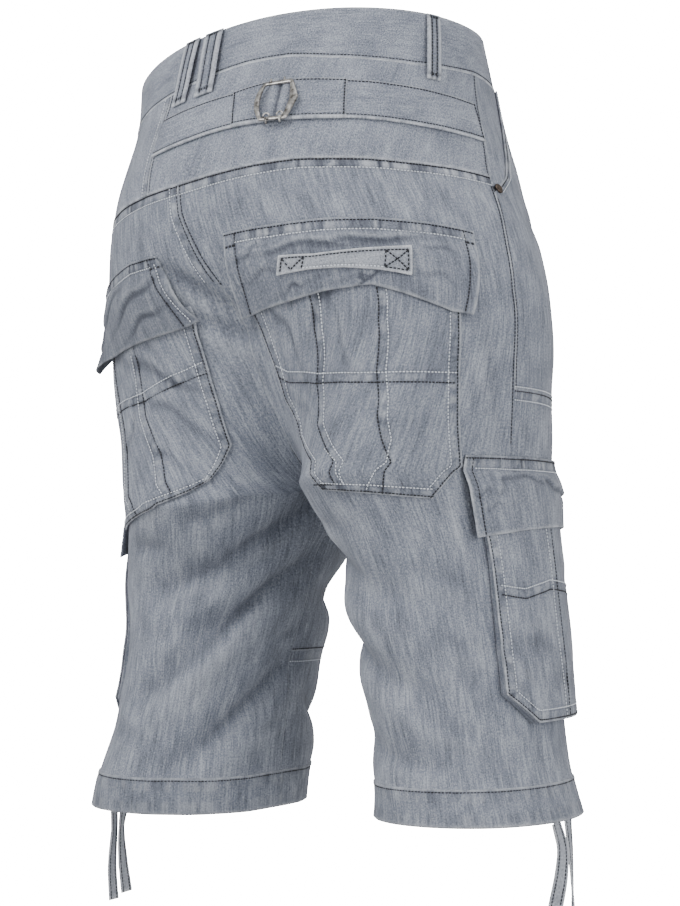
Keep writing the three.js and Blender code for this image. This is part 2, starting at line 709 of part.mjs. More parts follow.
// Where a hard piece sits: its own x runs toward the wearer's right, y up the cloth and z out of it
function seat(q, r, out) {
  const place = new THREE.Group();
  const z = outward(folded, q, r);
  const ahead = cloth(q + 0.002, r).sub(cloth(q - 0.002, r));
  const x = ahead.addScaledVector(z, -ahead.dot(z)).normalize();
  const y = new THREE.Vector3().crossVectors(z, x);
  const turn = new THREE.Matrix4().makeBasis(x, y, z);
  if (y.z < 0) {
    turn.makeBasis(x.negate(), y.negate(), z);
  }
  place.quaternion.setFromRotationMatrix(turn);
  place.position.copy(cloth(q, r, out));
  parts.add(place);
  return place;
}

const buckle = { q: 0.147, r: -59.5, out: 2.6, thick: 2, prong: 0.9 };

function makeBuckle() {
  const outline = new THREE.Shape();
  outline.moveTo(-10.5, 18.7);
  outline.lineTo(11, 19.8);
  outline.lineTo(12.8, 17.6);
  outline.lineTo(17.8, 1.1);
  outline.lineTo(10.6, -18.2);
  outline.lineTo(8.6, -19.8);
  outline.lineTo(-12, -18.7);
  outline.quadraticCurveTo(-23, -1, -12.6, 16.5);
  const opening = new THREE.Path();
  opening.moveTo(-10.2, 15.9);
  opening.quadraticCurveTo(-16.2, -1, -10.4, -15.9);
  opening.lineTo(7, -16.5);
  opening.lineTo(11, 0);
  opening.lineTo(10, 16.5);
  outline.holes.push(opening);
  const geometry = new THREE.ExtrudeGeometry(outline, { depth: buckle.thick, bevelEnabled: false, curveSegments: 8 });
  const frame = new THREE.Mesh(geometry, nickel());
  frame.name = 'buckle_frame';
  const place = seat(buckle.q, buckle.r, onPanel + strapDouble + buckle.out);
  place.add(frame);
  [-5.8, 5.2].forEach((x, i) => {
    const rod = new THREE.Mesh(new THREE.CylinderGeometry(buckle.prong, buckle.prong, 45, 8), nickel());
    rod.name = `buckle_prong_${i + 1}`;
    rod.position.set(x, 0, -buckle.prong - 0.4);
    place.add(rod);
  });
}

function makeRivetsAndButton() {
  for (const { word, sign } of sides) {
    const place = seat(sign * 0.503, -120.5, onPanel);
    const rivet = new THREE.Mesh(new THREE.CylinderGeometry(3.2, 4.2, 1.6, 16), darkMetal());
    rivet.name = `rivet_${word}`;
    rivet.rotation.x = Math.PI / 2;
    rivet.position.z = 0.8;
    place.add(rivet);
  }
  const place = seat(0.985, 0, bandWall + 2.25);
  const button = new THREE.Mesh(new THREE.CylinderGeometry(7.5, 8.5, 2.6, 24), nickel());
  button.name = 'waist_button';
  button.rotation.x = Math.PI / 2;
  place.add(button);
}

// Ties: a flat tape with rounded edges along each route, measured from the casing's lower edge
const tie = { width: 10.6, thick: 1.3, start: 0.4 };
const ties = [
  { name: 'tie_right_1', q: 0.483, sway: [0, 7.5, 7, 2.5], out: [0, 1, 0.5, -2], fall: [0, 20, 41, 66] },
  { name: 'tie_right_2', q: 0.512, sway: [0, 4.5, 5, 5], out: [0, 0, 1.5, 2.5], fall: [0, 22, 46, 70] },
  { name: 'tie_left_1', q: -0.507, sway: [0, 0, -3.5, -2.5], out: [0, -0.5, -0.5, -1], fall: [0, 26, 54, 82] },
  { name: 'tie_left_2', q: -0.478, sway: [0, -5, -3, -5], out: [0, 2.5, 3.5, 3], fall: [0, 28, 58, 87] },
];

function makeTies() {
  for (const { name, q, sway, out, fall } of ties) {
    const bottom = q < 0 ? casing.left.bottom : casing.right.bottom;
    const start = cloth(q, bottom, -0.4);
    const side = cloth(q + 0.002, bottom).sub(cloth(q - 0.002, bottom));
    side.z = 0;
    side.normalize();
    const face = new THREE.Vector3(side.y, -side.x, 0);
    if (face.x * start.x < 0) {
      face.negate();
    }
    const route = new THREE.CatmullRomCurve3(fall.map((drop, i) => start.clone()
      .addScaledVector(side, sway[i]).addScaledVector(face, out[i]).add(new THREE.Vector3(0, 0, -drop - tie.start))));
    sweepTape(name, route, side, face);
  }
}

function sweepTape(name, route, side, face) {
  const half = tie.width / 2;
  const section = [
    [-half, 0], [-half + 0.6, 0.5], [0, 0.5], [half - 0.6, 0.5],
    [half, 0], [half - 0.6, -0.5], [0, -0.5], [-half + 0.6, -0.5],
  ];
  const stations = route.getSpacedPoints(6);
  const points = [];
  stations.forEach((middle) => {
    for (const [x, y] of section) {
      points.push(middle.clone().addScaledVector(side, x).addScaledVector(face, y * tie.thick));
    }
  });
  const faces = [];
  const n = section.length;
  for (let i = 0; i < stations.length - 1; i += 1) {
    for (let j = 0; j < n; j += 1) {
      const k = (j + 1) % n;
      faces.push([i * n + j, i * n + k, (i + 1) * n + k], [i * n + j, (i + 1) * n + k, (i + 1) * n + j]);
    }
  }
  const last = (stations.length - 1) * n;
  for (let j = 1; j < n - 1; j += 1) {
    faces.push([0, j + 1, j], [last, last + j, last + j + 1]);
  }
  solid(name, points, faces, tape());
}

makeWaistband();
makeYoke();
makeBackPanels();
makeFronts();
makeFly();
makeHems();
makeBackPockets();
makeCargoPockets();
makeStrap();
makeBeltLoops();
makeBuckle();
makeRivetsAndButton();
makeTies();

export default parts;
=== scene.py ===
import math

import bpy
import numpy as np
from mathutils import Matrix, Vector
from mathutils.kdtree import KDTree


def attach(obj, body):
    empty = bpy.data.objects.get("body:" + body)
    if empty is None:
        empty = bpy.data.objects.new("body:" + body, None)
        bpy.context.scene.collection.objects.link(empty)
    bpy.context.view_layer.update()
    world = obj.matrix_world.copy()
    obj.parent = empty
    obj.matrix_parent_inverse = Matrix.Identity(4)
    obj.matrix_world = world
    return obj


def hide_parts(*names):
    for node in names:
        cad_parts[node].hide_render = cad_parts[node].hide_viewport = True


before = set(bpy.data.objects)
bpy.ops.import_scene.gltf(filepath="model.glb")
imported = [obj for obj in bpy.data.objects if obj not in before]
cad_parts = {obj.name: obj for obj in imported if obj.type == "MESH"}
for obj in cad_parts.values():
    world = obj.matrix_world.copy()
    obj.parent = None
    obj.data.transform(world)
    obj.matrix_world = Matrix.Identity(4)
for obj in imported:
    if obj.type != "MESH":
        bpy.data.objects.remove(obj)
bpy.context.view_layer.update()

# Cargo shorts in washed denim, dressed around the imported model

mm = 0.001


# The garment's form, as in the solids. q goes round one side: 0 at the centre back seam or inseam, 1 at the
# front one, positive on the wearer's right. r is the height of a row at the outer side of the hip, in mm.
trunk = {
    "at": [20, -20, -92, -150, -210, -265, -325],
    "wide": [155, 155, 168, 185, 192, 180, 166],
    "front": [103, 121, 128, 126, 117, 120, 126],
    "back": [116, 127, 162, 157, 134, 127, 123],
    "cleft": [0, 0, 2, 6, 14, 18, 14],
    "power": 0.92, "cleftReach": 40, "rise": 13, "riseReach": 60, "frontDip": -4,
}
legs = {
    "at": [-380, -440, -500, -555, -600],
    "right": {"x": [99, 109, 119, 127, 135], "y": [-5, -4, -3, -1, 2],
              "halfX": [73, 71, 68, 70, 79], "halfY": [106, 98, 91, 89, 91]},
    "left": {"x": [107, 113, 121, 132, 139], "y": [-10, -8, -5, 0, 1],
             "halfX": [78, 67, 67, 77, 83], "halfY": [99, 99, 102, 101, 92]},
    "gap": 0.8, "power": 0.95, "start": -150, "crotch": -325,
}
stance = {"roll": 10.4, "tip": 8.2, "turn": -6.7, "pivot": -250, "whole": -120, "none": -420, "drop": 10.3}
rows = {"bandTop": 20, "bandBottom": -19, "thigh": -270, "knee": -447, "mouth": -124,
        "casing": {"right": (-556, -583), "left": (-542, -570)}}
lines = {
    "side": ([-19, -48, -108, -170, -205, -235, -320, -600],
             [0.532, 0.52, 0.497, 0.48, 0.472, 0.476, 0.49, 0.49]),
    "mouth": ([-19, -60, -107, -124], [0.64, 0.6, 0.54, 0.4946]),
    "yoke": ([-0.53, -0.2, 0, 0.18, 0.34, 0.53], [-103, -97, -100, -101.5, -108, -111]),
}
wall = {"cloth": 1.6, "trim": 1.4, "band": 2.6, "hem": 2.4, "strap": 2.4, "seam": 0.3, "onPanel": 0.9}
seamQ = wall["seam"] / 2 / 540

# Main folds: from one place to another, with the bow, width and depth of the trough in mm
folds = [
    (-0.03, -330, -0.24, -390, 6, 15, 7), (-0.02, -375, -0.25, -472, -4, 14, 8),
    (-0.02, -459, -0.17, -530, 0, 14, 7), (-0.22, -421, -0.15, -417, 0, 10, 3),
    (-0.2, -338, -0.11, -326, 3, 11, 4), (-0.32, -357, -0.25, -359, 0, 10, 3),
    (-0.06, -155, 0.005, -179, 0, 11, 3), (-0.03, -180, 0.012, -194, 0, 11, 2.5),
    (-0.8, -330, -0.97, -300, 5, 16, 6), (-0.76, -424, -0.96, -398, -6, 15, 6),
    (-0.76, -520, -0.95, -482, 4, 13, 5), (0.06, -372, 0.27, -410, 5, 15, 6),
    (0.04, -440, 0.3, -486, -4, 14, 6), (0.1, -520, 0.27, -533, 2, 12, 4),
    (0.78, -322, 0.96, -296, 4, 16, 6), (0.76, -455, 0.97, -412, -5, 15, 6),
    (0.72, -532, 0.93, -505, 3, 12, 5),
]
# Finer creases that lie in and between the folds, on the cloth alone
creases = [
    (-0.03, -333, -0.12, -362, 3, 5, 2.2), (-0.1, -358, -0.25, -392, 3, 5, 1.6),
    (-0.03, -379, -0.15, -437, -3, 5, 2.6), (-0.14, -434, -0.26, -474, 2, 6, 1.8),
    (-0.02, -461, -0.13, -512, 0, 5, 2.4), (-0.05, -400, -0.12, -412, 1, 4, 0.9),
    (-0.3, -420, -0.22, -428, 1, 5, 1.1), (-0.04, -436, -0.01, -430, 0, 4, 1.4),
    (-0.05, -508, -0.01, -499, 0, 4, 1.2), (-0.33, -500, -0.24, -512, 0, 6, 1.2),
    (-0.21, -338, -0.12, -327, 2, 4, 1.5), (-0.31, -358, -0.26, -360, 0, 4, 1.2),
    (0.42, -232, 0.47, -306, 1, 4, 1.2), (0.06, -374, 0.2, -396, 3, 5, 1.6),
    (0.05, -441, 0.22, -474, -3, 5, 1.8), (0.28, -500, 0.38, -516, 1, 6, 1.2),
    (0.1, -352, 0.22, -362, 2, 6, 1.2), (0.3, -392, 0.4, -402, 0, 6, 1.0),
    (0.33, -440, 0.41, -452, 2, 6, 1.0), (0.18, -530, 0.3, -540, 1, 5, 1.2),
    (-0.063, -153, 0.004, -179, 1, 4.5, 3.2), (-0.042, -181, 0.013, -192, 1, 4.5, 3.0),
    (0.6, -140, 0.86, -128, 6, 9, 1.6), (-0.6, -140, -0.86, -128, 6, 9, 1.6),
    (0.7, -182, 0.95, -205, 4, 8, 1.8), (-0.7, -186, -0.95, -204, 4, 8, 1.8),
    (0.66, -236, 0.93, -262, 3, 7, 1.6), (-0.64, -240, -0.93, -258, 3, 7, 1.6),
    (0.82, -326, 0.96, -302, 2, 5, 2.0), (-0.84, -333, -0.97, -306, 2, 5, 2.0),
    (0.78, -372, 0.97, -352, -2, 6, 1.6), (-0.78, -376, -0.97, -356, -2, 6, 1.6),
    (0.8, -455, 0.96, -418, -3, 5, 1.8), (-0.8, -428, -0.95, -402, -3, 5, 1.8),
    (0.78, -524, 0.95, -507, 1, 5, 1.4), (-0.8, -518, -0.95, -486, 1, 5, 1.6),
]
foldRules = {"scale": 560, "ridge": 0.45, "legsBelow": -300}


def curveAt(at, column, z):
    # a smooth curve through a table's rows
    xs = np.asarray(at, float)
    ys = np.asarray(column, float)
    if xs[0] > xs[-1]:
        xs = xs[::-1]
        ys = ys[::-1]
    slopes = np.gradient(ys, xs)
    z = np.clip(z, xs[0], xs[-1])
    i = np.clip(np.searchsorted(xs, z) - 1, 0, len(xs) - 2)
    span = xs[i + 1] - xs[i]
    s = (z - xs[i]) / span
    low = ys[i] * (2 * s**3 - 3 * s**2 + 1) + slopes[i] * span * (s**3 - 2 * s**2 + s)
    return low + ys[i + 1] * (3 * s**2 - 2 * s**3) + slopes[i + 1] * span * (s**3 - s**2)


def lineAt(name, x):
    xs, ys = lines[name]
    if xs[0] > xs[-1]:
        xs, ys = xs[::-1], ys[::-1]
    return np.interp(x, xs, ys)


def ease(x):
    x = np.clip(x, 0, 1)
    return x * x * (3 - 2 * x)


def bell(x):
    return np.exp(-x * x)


def signedPower(x, p):
    return np.sign(x) * np.abs(x) ** p


def turnedBy(x, y, degrees):
    # two coordinates, turned about the third
    angle = np.radians(degrees)
    c = np.cos(angle)
    s = np.sin(angle)
    return x * c - y * s, x * s + y * c


def pose(x, y, z, r):
    # the hips are rolled, tipped and turned, less and less down the thighs
    share = ease((r - stance["none"]) / (stance["whole"] - stance["none"]))
    lowered = np.clip(x / 60, -1, 1) * stance["drop"] * ease((-r - 100) / 250)
    z = z - stance["pivot"]
    x, y = turnedBy(x, y, stance["turn"] * share)
    y, z = turnedBy(y, z, stance["tip"] * share)
    z, x = turnedBy(z, x, stance["roll"] * share)
    return np.stack([x, y, z + stance["pivot"] - lowered], -1)


waistCentre = pose(0.0, 0.0, 0.0, 0.0)


def diveAt(r):
    return np.clip((legs["start"] - r) / (legs["start"] - legs["crotch"]), 0, 1) * math.pi / 2


def form(q, r):
    # the smooth form: a trunk that turns into two legs along the crotch curve
    q = np.where(q < -1, q + 2, q)
    left = q < 0
    turn = 1 - np.abs(q)
    dive = diveAt(r)
    share = 1 - np.cos(dive)
    start, crotch = legs["start"], legs["crotch"]
    seamZ = np.where((r < start) & (r > crotch), start + (crotch - start) * np.sin(dive), r)
    z = r + (seamZ - r) * np.abs(2 * turn - 1) ** 3
    upper = np.maximum(z, crotch)
    wide, front, back, cleft = (curveAt(trunk["at"], trunk[k], upper)
                                for k in ("wide", "front", "back", "cleft"))
    across = wide * np.sin(math.pi * turn).clip(0) ** trunk["power"]
    facing = signedPower(np.cos(math.pi * turn), trunk["power"])
    deep = np.where(facing > 0, -front * facing, -back * facing)
    deep = np.where(facing < 0, deep - cleft * bell(across / trunk["cleftReach"]), deep)
    top = {"x": (wide + legs["gap"]) / 2, "y": (back - front) / 2,
           "halfX": (wide - legs["gap"]) / 2, "halfY": (back + front) / 2}
    atCrotch = {k: float(curveAt(trunk["at"], trunk[k], crotch)) for k in ("wide", "front", "back")}
    first = {"x": (atCrotch["wide"] + legs["gap"]) / 2, "y": (atCrotch["back"] - atCrotch["front"]) / 2,
             "halfX": (atCrotch["wide"] - legs["gap"]) / 2,
             "halfY": (atCrotch["back"] + atCrotch["front"]) / 2}

    def ring(column):
        at = [crotch] + legs["at"]
        below = np.where(left, curveAt(at, [first[column]] + legs["left"][column], z),
                         curveAt(at, [first[column]] + legs["right"][column], z))
        return np.where(z > crotch, top[column], below)

    legX = ring("x") - ring("halfX") * signedPower(np.cos(2 * math.pi * turn), legs["power"])
    legY = ring("y") - ring("halfY") * signedPower(np.sin(2 * math.pi * turn), legs["power"])
    degrees = np.abs(q) * 180
    near = ease((r + 110) / 90)
    rise = trunk["rise"] * bell(degrees / trunk["riseReach"]) + trunk["frontDip"] * bell((180 - degrees) / 60)
    side = np.where(left, 1.0, -1.0)
    return pose(side * (across + (legX - across) * share), deep + (legY - deep) * share, z + rise * near, r)


def gridNormals(points, closed, q, r):
    # directions out of the cloth over a grid of its points
    if closed:
        across = np.roll(points, -1, 1) - np.roll(points, 1, 1)
    else:
        across = np.gradient(points, axis=1)
    normals = unit(np.cross(np.gradient(points, axis=0), across))
    i, j = points.shape[0] // 2, points.shape[1] // 2
    known = clothAt(q[i, j], r[i, j])[1]
    return normals if normals[i, j].dot(known) > 0 else -normals


def foldAt(q, r, table):
    # how far the folds in a table move the cloth outward
    moved = np.zeros(np.broadcast(q, r).shape)
    onLegs = r < foldRules["legsBelow"]
    scale = foldRules["scale"]
    q = np.where(q < -1, q + 2, q)
    for q0, r0, q1, r1, bow, width, depth in table:
        apart = q - q0
        apart = np.where(onLegs, apart - np.round(apart), apart)
        alongQ = (q1 - q0) * scale
        alongR = r1 - r0
        length = math.hypot(alongQ, alongR)
        way = (apart * scale * alongQ + (r - r0) * alongR) / length
        s = np.clip(way / length, 0, 1)
        past = np.maximum(0, np.maximum(-way, way - length))
        off = (alongQ * (r - r0) - alongR * apart * scale) / length * math.copysign(1, alongQ)
        off = off + bow * 4 * s * (1 - s)
        fade = bell(past / (width * 1.4)) * (0.55 + 0.45 * np.sin(math.pi * s))
        fade = np.where(onLegs & (np.sign(q) != math.copysign(1, q0)), 0, fade)
        moved -= depth * fade * bell(off / width)
        moved += depth * foldRules["ridge"] * fade * bell((off + width * 1.9) / (width * 1.1))
    return moved


def rowAt(q, height):
    # the row whose cloth has a given height at q, for lines that run level across the seat
    q, height = np.broadcast_arrays(np.asarray(q, float), np.asarray(height, float))
    high = np.full(q.shape, float(legs["start"]))
    low = np.full(q.shape, float(legs["crotch"]))
    for _ in range(26):
        r = (high + low) / 2
        seamZ = legs["start"] + (legs["crotch"] - legs["start"]) * np.sin(diveAt(r))
        above = r + (seamZ - r) * np.abs(1 - 2 * np.abs(q)) ** 3 > height
        high = np.where(above, r, high)
        low = np.where(above, low, r)
    inside = (height < legs["start"]) & (height > legs["crotch"])
    return np.where(inside, (high + low) / 2, height)


def unit(v):
    return v / np.maximum(np.linalg.norm(v, axis=-1, keepdims=True), 1e-12)


def folded(q, r):
    # the form with its folds, creases and unevenness
    q, r = np.broadcast_arrays(np.asarray(q, float), np.asarray(r, float))
    moved = foldAt(q, r, folds) + foldAt(q, r, creases) + uneven(q, r)
    step = np.where(q >= 0, 1.0, -1.0) * 0.004
    inner = np.where(np.abs(q) > 0.5, -step, step)
    across = (form(q + inner, r) - form(q, r)) * np.sign(inner)[..., None]
    down = form(q, r - 1.5) - form(q, r + 1.5)
    out = unit(np.cross(down, across))
    return form(q, r) + out * moved[..., None]


def clothAt(q, r, out=0.0):
    # points of the cloth moved out from it, with their outward directions, for lines and small things
    q, r = np.broadcast_arrays(np.asarray(q, float), np.asarray(r, float))
    step = np.where(q >= 0, 1.0, -1.0) * 0.003
    inner = np.where(np.abs(q) > 0.5, -step, step)
    here = folded(q, r)
    across = (folded(q + inner, r) - here) * np.sign(inner)[..., None]
    down = folded(q, r - 1.2) - folded(q, r + 1.2)
    normal = unit(np.cross(down, across))
    return here + normal * np.asarray(out, float)[..., None] - waistCentre, normal


def hashed(k, seed):
    x = np.sin(k * 127.1 + seed * 311.7) * 43758.5453
    return (x - np.floor(x)) * 2 - 1


def waver(t, seed):
    # smooth values from -1 to 1 along a line
    t = np.asarray(t, float)
    i = np.floor(t)
    f = ease(t - i)
    return hashed(i, seed) * (1 - f) + hashed(i + 1, seed) * f


def ripple(x, y, seed):
    # smooth values from -1 to 1 over a plane
    i = np.floor(x)
    j = np.floor(y)
    f = ease(x - i)
    g = ease(y - j)
    corner = lambda a, b: hashed(a + b * 57.0, seed)
    low = corner(i, j) * (1 - f) + corner(i + 1, j) * f
    high = corner(i, j + 1) * (1 - f) + corner(i + 1, j + 1) * f
    return low * (1 - g) + high * g


def uneven(q, r):
    # the soft unevenness of worn cloth, shared by every layer so that they lie on each other
    x = np.where(q < -1, q + 2, q) * foldRules["scale"]
    fade = np.clip(np.sin(math.pi * np.abs(q).clip(0, 1)) * 6, 0, 1)
    calm = 0.25 + 0.75 * ease((-30 - r) / 60)
    return fade * calm * (0.8 * ripple(x / 41, r / 30, 3) + 0.4 * ripple(x / 17, r / 44, 7))


def report(words):
    print("scene:", words)


# Meshes
def newMesh(name, points, faces, uvs=None, values=None, inside=None):
    # faces is a list of arrays, each of triangles or of quads; points are in mm
    mesh = bpy.data.meshes.new(name)
    mesh.vertices.add(len(points))
    mesh.vertices.foreach_set("co", (np.asarray(points) * mm).astype(np.float32).ravel())
    corners = np.concatenate([f.ravel() for f in faces]).astype(np.int32)
    sizes = np.concatenate([np.full(len(f), f.shape[1]) for f in faces])
    starts = np.concatenate([[0], np.cumsum(sizes)[:-1]]).astype(np.int32)
    mesh.loops.add(len(corners))
    mesh.loops.foreach_set("vertex_index", corners)
    mesh.polygons.add(len(sizes))
    mesh.polygons.foreach_set("loop_start", starts)
    mesh.update(calc_edges=True)
    if uvs is not None:
        flat = (uvs[corners] * mm).astype(np.float32)
        mesh.uv_layers.new(name="cloth").uv.foreach_set("vector", flat.ravel())
    for key, column in (values or {}).items():
        mesh.attributes.new(key, "FLOAT", "POINT").data.foreach_set("value", column.astype(np.float32))
    if inside is not None:
        mesh.polygons.foreach_set("material_index", inside.astype(np.int32))
    mesh.polygons.foreach_set("use_smooth", np.ones(len(sizes), bool))
    mesh.validate()
    return mesh


def newPiece(name, mesh, materials, nodes=()):
    piece = bpy.data.objects.new(name, mesh)
    bpy.context.scene.collection.objects.link(piece)
    for material in materials:
        mesh.materials.append(material)
    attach(piece, "root")
    if nodes:
        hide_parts(*nodes)
    return piece


def gridFaces(nv, nu, closed=False, first=0):
    spans = nu if closed else nu - 1
    i, j = np.meshgrid(np.arange(nv - 1), np.arange(spans), indexing="ij")
    i = i.ravel()
    j = j.ravel()
    k = (j + 1) % nu
    return first + np.stack([i * nu + j, i * nu + k, (i + 1) * nu + k, (i + 1) * nu + j], 1)


def wallFrom(outer, inner, normals, uvs, values, thick, closed=False, first=0):
    # a cloth wall with a rounded rim, from grids of its outer and inner points
    nv, nu = outer.shape[:2]
    count = nv * nu
    if closed:
        loops = [[(0, j) for j in range(nu)], [(nv - 1, j) for j in range(nu)]]
    else:
        loops = [[(0, j) for j in range(nu)] + [(i, nu - 1) for i in range(1, nv)]
                 + [(nv - 1, j) for j in range(nu - 2, -1, -1)] + [(i, 0) for i in range(nv - 2, 0, -1)]]
    rims = []
    rimIndex = []
    rimFaces = []
    start = 2 * count
    for loop in loops:
        at = np.array(loop)
        near = np.stack([at[:, 0].clip(1, nv - 2), at[:, 1] if closed else at[:, 1].clip(1, nu - 2)], 1)
        edge = (outer[at[:, 0], at[:, 1]] + inner[at[:, 0], at[:, 1]]) / 2
        back = (outer[near[:, 0], near[:, 1]] + inner[near[:, 0], near[:, 1]]) / 2
        rims.append(edge + unit(edge - back) * thick * 0.42)
        flat = at[:, 0] * nu + at[:, 1]
        rimIndex.append(flat)
        n = len(loop)
        a = np.arange(n)
        b = (a + 1) % n
        rimFaces.append(np.stack([flat[a], start + a, start + b, flat[b]], 1))
        rimFaces.append(np.stack([count + flat[a], count + flat[b], start + b, start + a], 1))
        start += n
    points = np.concatenate([outer.reshape(-1, 3), inner.reshape(-1, 3)] + rims)
    quads = gridFaces(nv, nu, closed)
    under = quads[:, ::-1] + count
    faces = np.concatenate([quads, under] + rimFaces)
    # turn the faces so that the outer grid's point out
    a, b, c = points[quads[:, 0]], points[quads[:, 1]], points[quads[:, 2]]
    facing = np.einsum("ij,ij->i", np.cross(b - a, c - a), normals.reshape(-1, 3)[quads[:, 0]]).sum()
    half = len(quads)
    if facing < 0:
        faces = faces[:, ::-1]
    # the rim's faces follow the outer grid's edges the other way round
    rim = faces[2 * half:]
    p = points[rim]
    middle = p.mean(1)
    along = np.cross(p[:, 1] - p[:, 0], p[:, 2] - p[:, 0])
    flatIndex = np.concatenate([np.concatenate([r, r]) for r in rimIndex])
    inward = (outer.reshape(-1, 3) + inner.reshape(-1, 3))[flatIndex] / 2
    away = np.einsum("ij,ij->i", along, middle - inward)
    wrong = away < 0
    rim[wrong] = rim[wrong][:, ::-1]
    faces[2 * half:] = rim
    index = np.concatenate([np.arange(count), np.arange(count)] + rimIndex)
    spread = {key: column.ravel()[index] for key, column in values.items()}
    inside = np.zeros(len(faces))
    inside[half:2 * half] = 1
    return points, faces + first, uvs.reshape(-1, 2)[index], spread, inside


def spacing(length, fine, coarse, border):
    # shares of a length, close together near both ends
    ends = min(border, length / 3)
    n = max(1, round(ends / fine))
    m = max(2, round((length - 2 * ends) / coarse))
    return np.concatenate([np.linspace(0, ends, n + 1)[:-1], np.linspace(ends, length - ends, m + 1)[:-1],
                           np.linspace(length - ends, length, n + 1)]) / length


def lengthAlong(points):
    return np.concatenate([[0], np.cumsum(np.linalg.norm(np.diff(points, axis=0), axis=1))])


def onPiece(piece, u, v, out=0.0):
    q, r, lift = piece["place"](np.asarray(u, float), np.asarray(v, float))
    lift = np.broadcast_to(lift, np.broadcast(q, r).shape)
    return clothAt(q, r, lift + piece["thick"] + out)


def drawn(piece, path, step=1.4):
    # a line on a piece, from its turning points in u and v: points, directions out and lengths along
    path = np.asarray(path, float)
    rough = onPiece(piece, path[:, 0], path[:, 1])[0]
    u = []
    v = []
    for k in range(len(path) - 1):
        n = max(2, int(np.linalg.norm(rough[k + 1] - rough[k]) / step))
        s = np.linspace(0, 1, n + 1)[:-1] if k < len(path) - 2 else np.linspace(0, 1, n + 1)
        u.append(path[k, 0] + (path[k + 1, 0] - path[k, 0]) * s)
        v.append(path[k, 1] + (path[k + 1, 1] - path[k, 1]) * s)
    points, normals = onPiece(piece, np.concatenate(u), np.concatenate(v))
    return points, normals, lengthAlong(points)


def inset(piece, side, by, start=0.0, end=1.0, count=40):
    # a path that keeps a distance in mm from one edge of a piece
    s = np.linspace(start, end, count)
    zero = np.zeros(count)
    one = np.ones(count)
    if side in ("top", "bottom"):
        a = onPiece(piece, s, zero)[0]
        b = onPiece(piece, s, one)[0]
        middle = onPiece(piece, s, zero + 0.5)[0]
        share = by / (np.linalg.norm(middle - a, axis=1) + np.linalg.norm(b - middle, axis=1))
        return np.stack([s, share if side == "top" else 1 - share], 1)
    a = onPiece(piece, zero, s)[0]
    b = onPiece(piece, one, s)[0]
    middle = onPiece(piece, zero + 0.5, s)[0]
    share = by / (np.linalg.norm(middle - a, axis=1) + np.linalg.norm(b - middle, axis=1))
    return np.stack([share if side == "in" else 1 - share, s], 1)


# Stitches are gathered here, and made into a few meshes at the end
threads = {"dark": [], "pale": []}
stitch = {
    "dark": {"pitch": 2.7, "length": 2.7, "radius": 0.62, "out": 0.0},
    "pale": {"pitch": 2.7, "length": 2.1, "radius": 0.46, "out": 0.12},
}


def sewAlong(kind, points, normals, along, seed=0):
    how = stitch[kind]
    count = max(1, int(along[-1] / how["pitch"]))
    middle = (np.arange(count) + 0.5) * along[-1] / count
    middle = middle + 0.12 * hashed(np.arange(count) + 0.0, seed + 5)
    pick = lambda at, table: np.stack([np.interp(at, along, table[:, k]) for k in range(3)], 1)
    half = how["length"] / 2
    a = pick(middle - half, points)
    b = pick(middle + half, points)
    n = unit(pick(middle, normals))
    t = unit(b - a)
    s = np.cross(n, t)
    c = (a + b) / 2 + n * how["out"]
    radius = how["radius"]
    ends = [c - t * half - n * radius * 0.7, c + t * half - n * radius * 0.7]
    rings = []
    for share in (-0.62, 0.62):
        m = c + t * half * share
        rings.append([m + s * radius, m + n * radius * 0.9, m - s * radius, m - n * radius])
    block = np.stack([ends[0]] + rings[0] + rings[1] + [ends[1]], 1)
    threads[kind].append(block)


def sewOn(piece, kind, path, seed=0):
    points, normals, along = drawn(piece, path)
    sewAlong(kind, points + normals * -0.12, normals, along, seed)
    return points, along


def makeThreads(materials):
    pattern = []
    for k in range(4):
        m = (k + 1) % 4
        pattern += [(0, 1 + k, 1 + m), (1 + k, 5 + k, 5 + m), (1 + k, 5 + m, 1 + m), (5 + k, 9, 5 + m)]
    pattern = np.array(pattern)
    for kind, blocks in threads.items():
        every = np.concatenate(blocks)
        share = 12000
        for part in range(0, len(every), share):
            some = every[part:part + share]
            faces = (np.arange(len(some))[:, None, None] * 10 + pattern[None]).reshape(-1, 3)
            points = some.reshape(-1, 3)
            p = points[faces[:16]]
            centre = some[0].mean(0)
            away = np.einsum("ij,ij->i", np.cross(p[:, 1] - p[:, 0], p[:, 2] - p[:, 0]), p.mean(1) - centre)
            if away.sum() < 0:
                faces = faces[:, ::-1]
            mesh = newMesh(f"stitching_{kind}_{part // share + 1}", points, [faces])
            newPiece(mesh.name, mesh, [materials[kind]])
        report(f"{len(every)} {kind} stitches")


def nearest(tree, points):
    found = np.empty(len(points))
    where = np.empty(len(points), int)
    for k, p in enumerate(points):
        hit = tree.find(p)
        found[k] = hit[2]
        where[k] = hit[1]
    return found, where


def treeOf(points):
    tree = KDTree(len(points))
    for k, p in enumerate(points):
        tree.insert(p, k)
    tree.balance()
    return tree


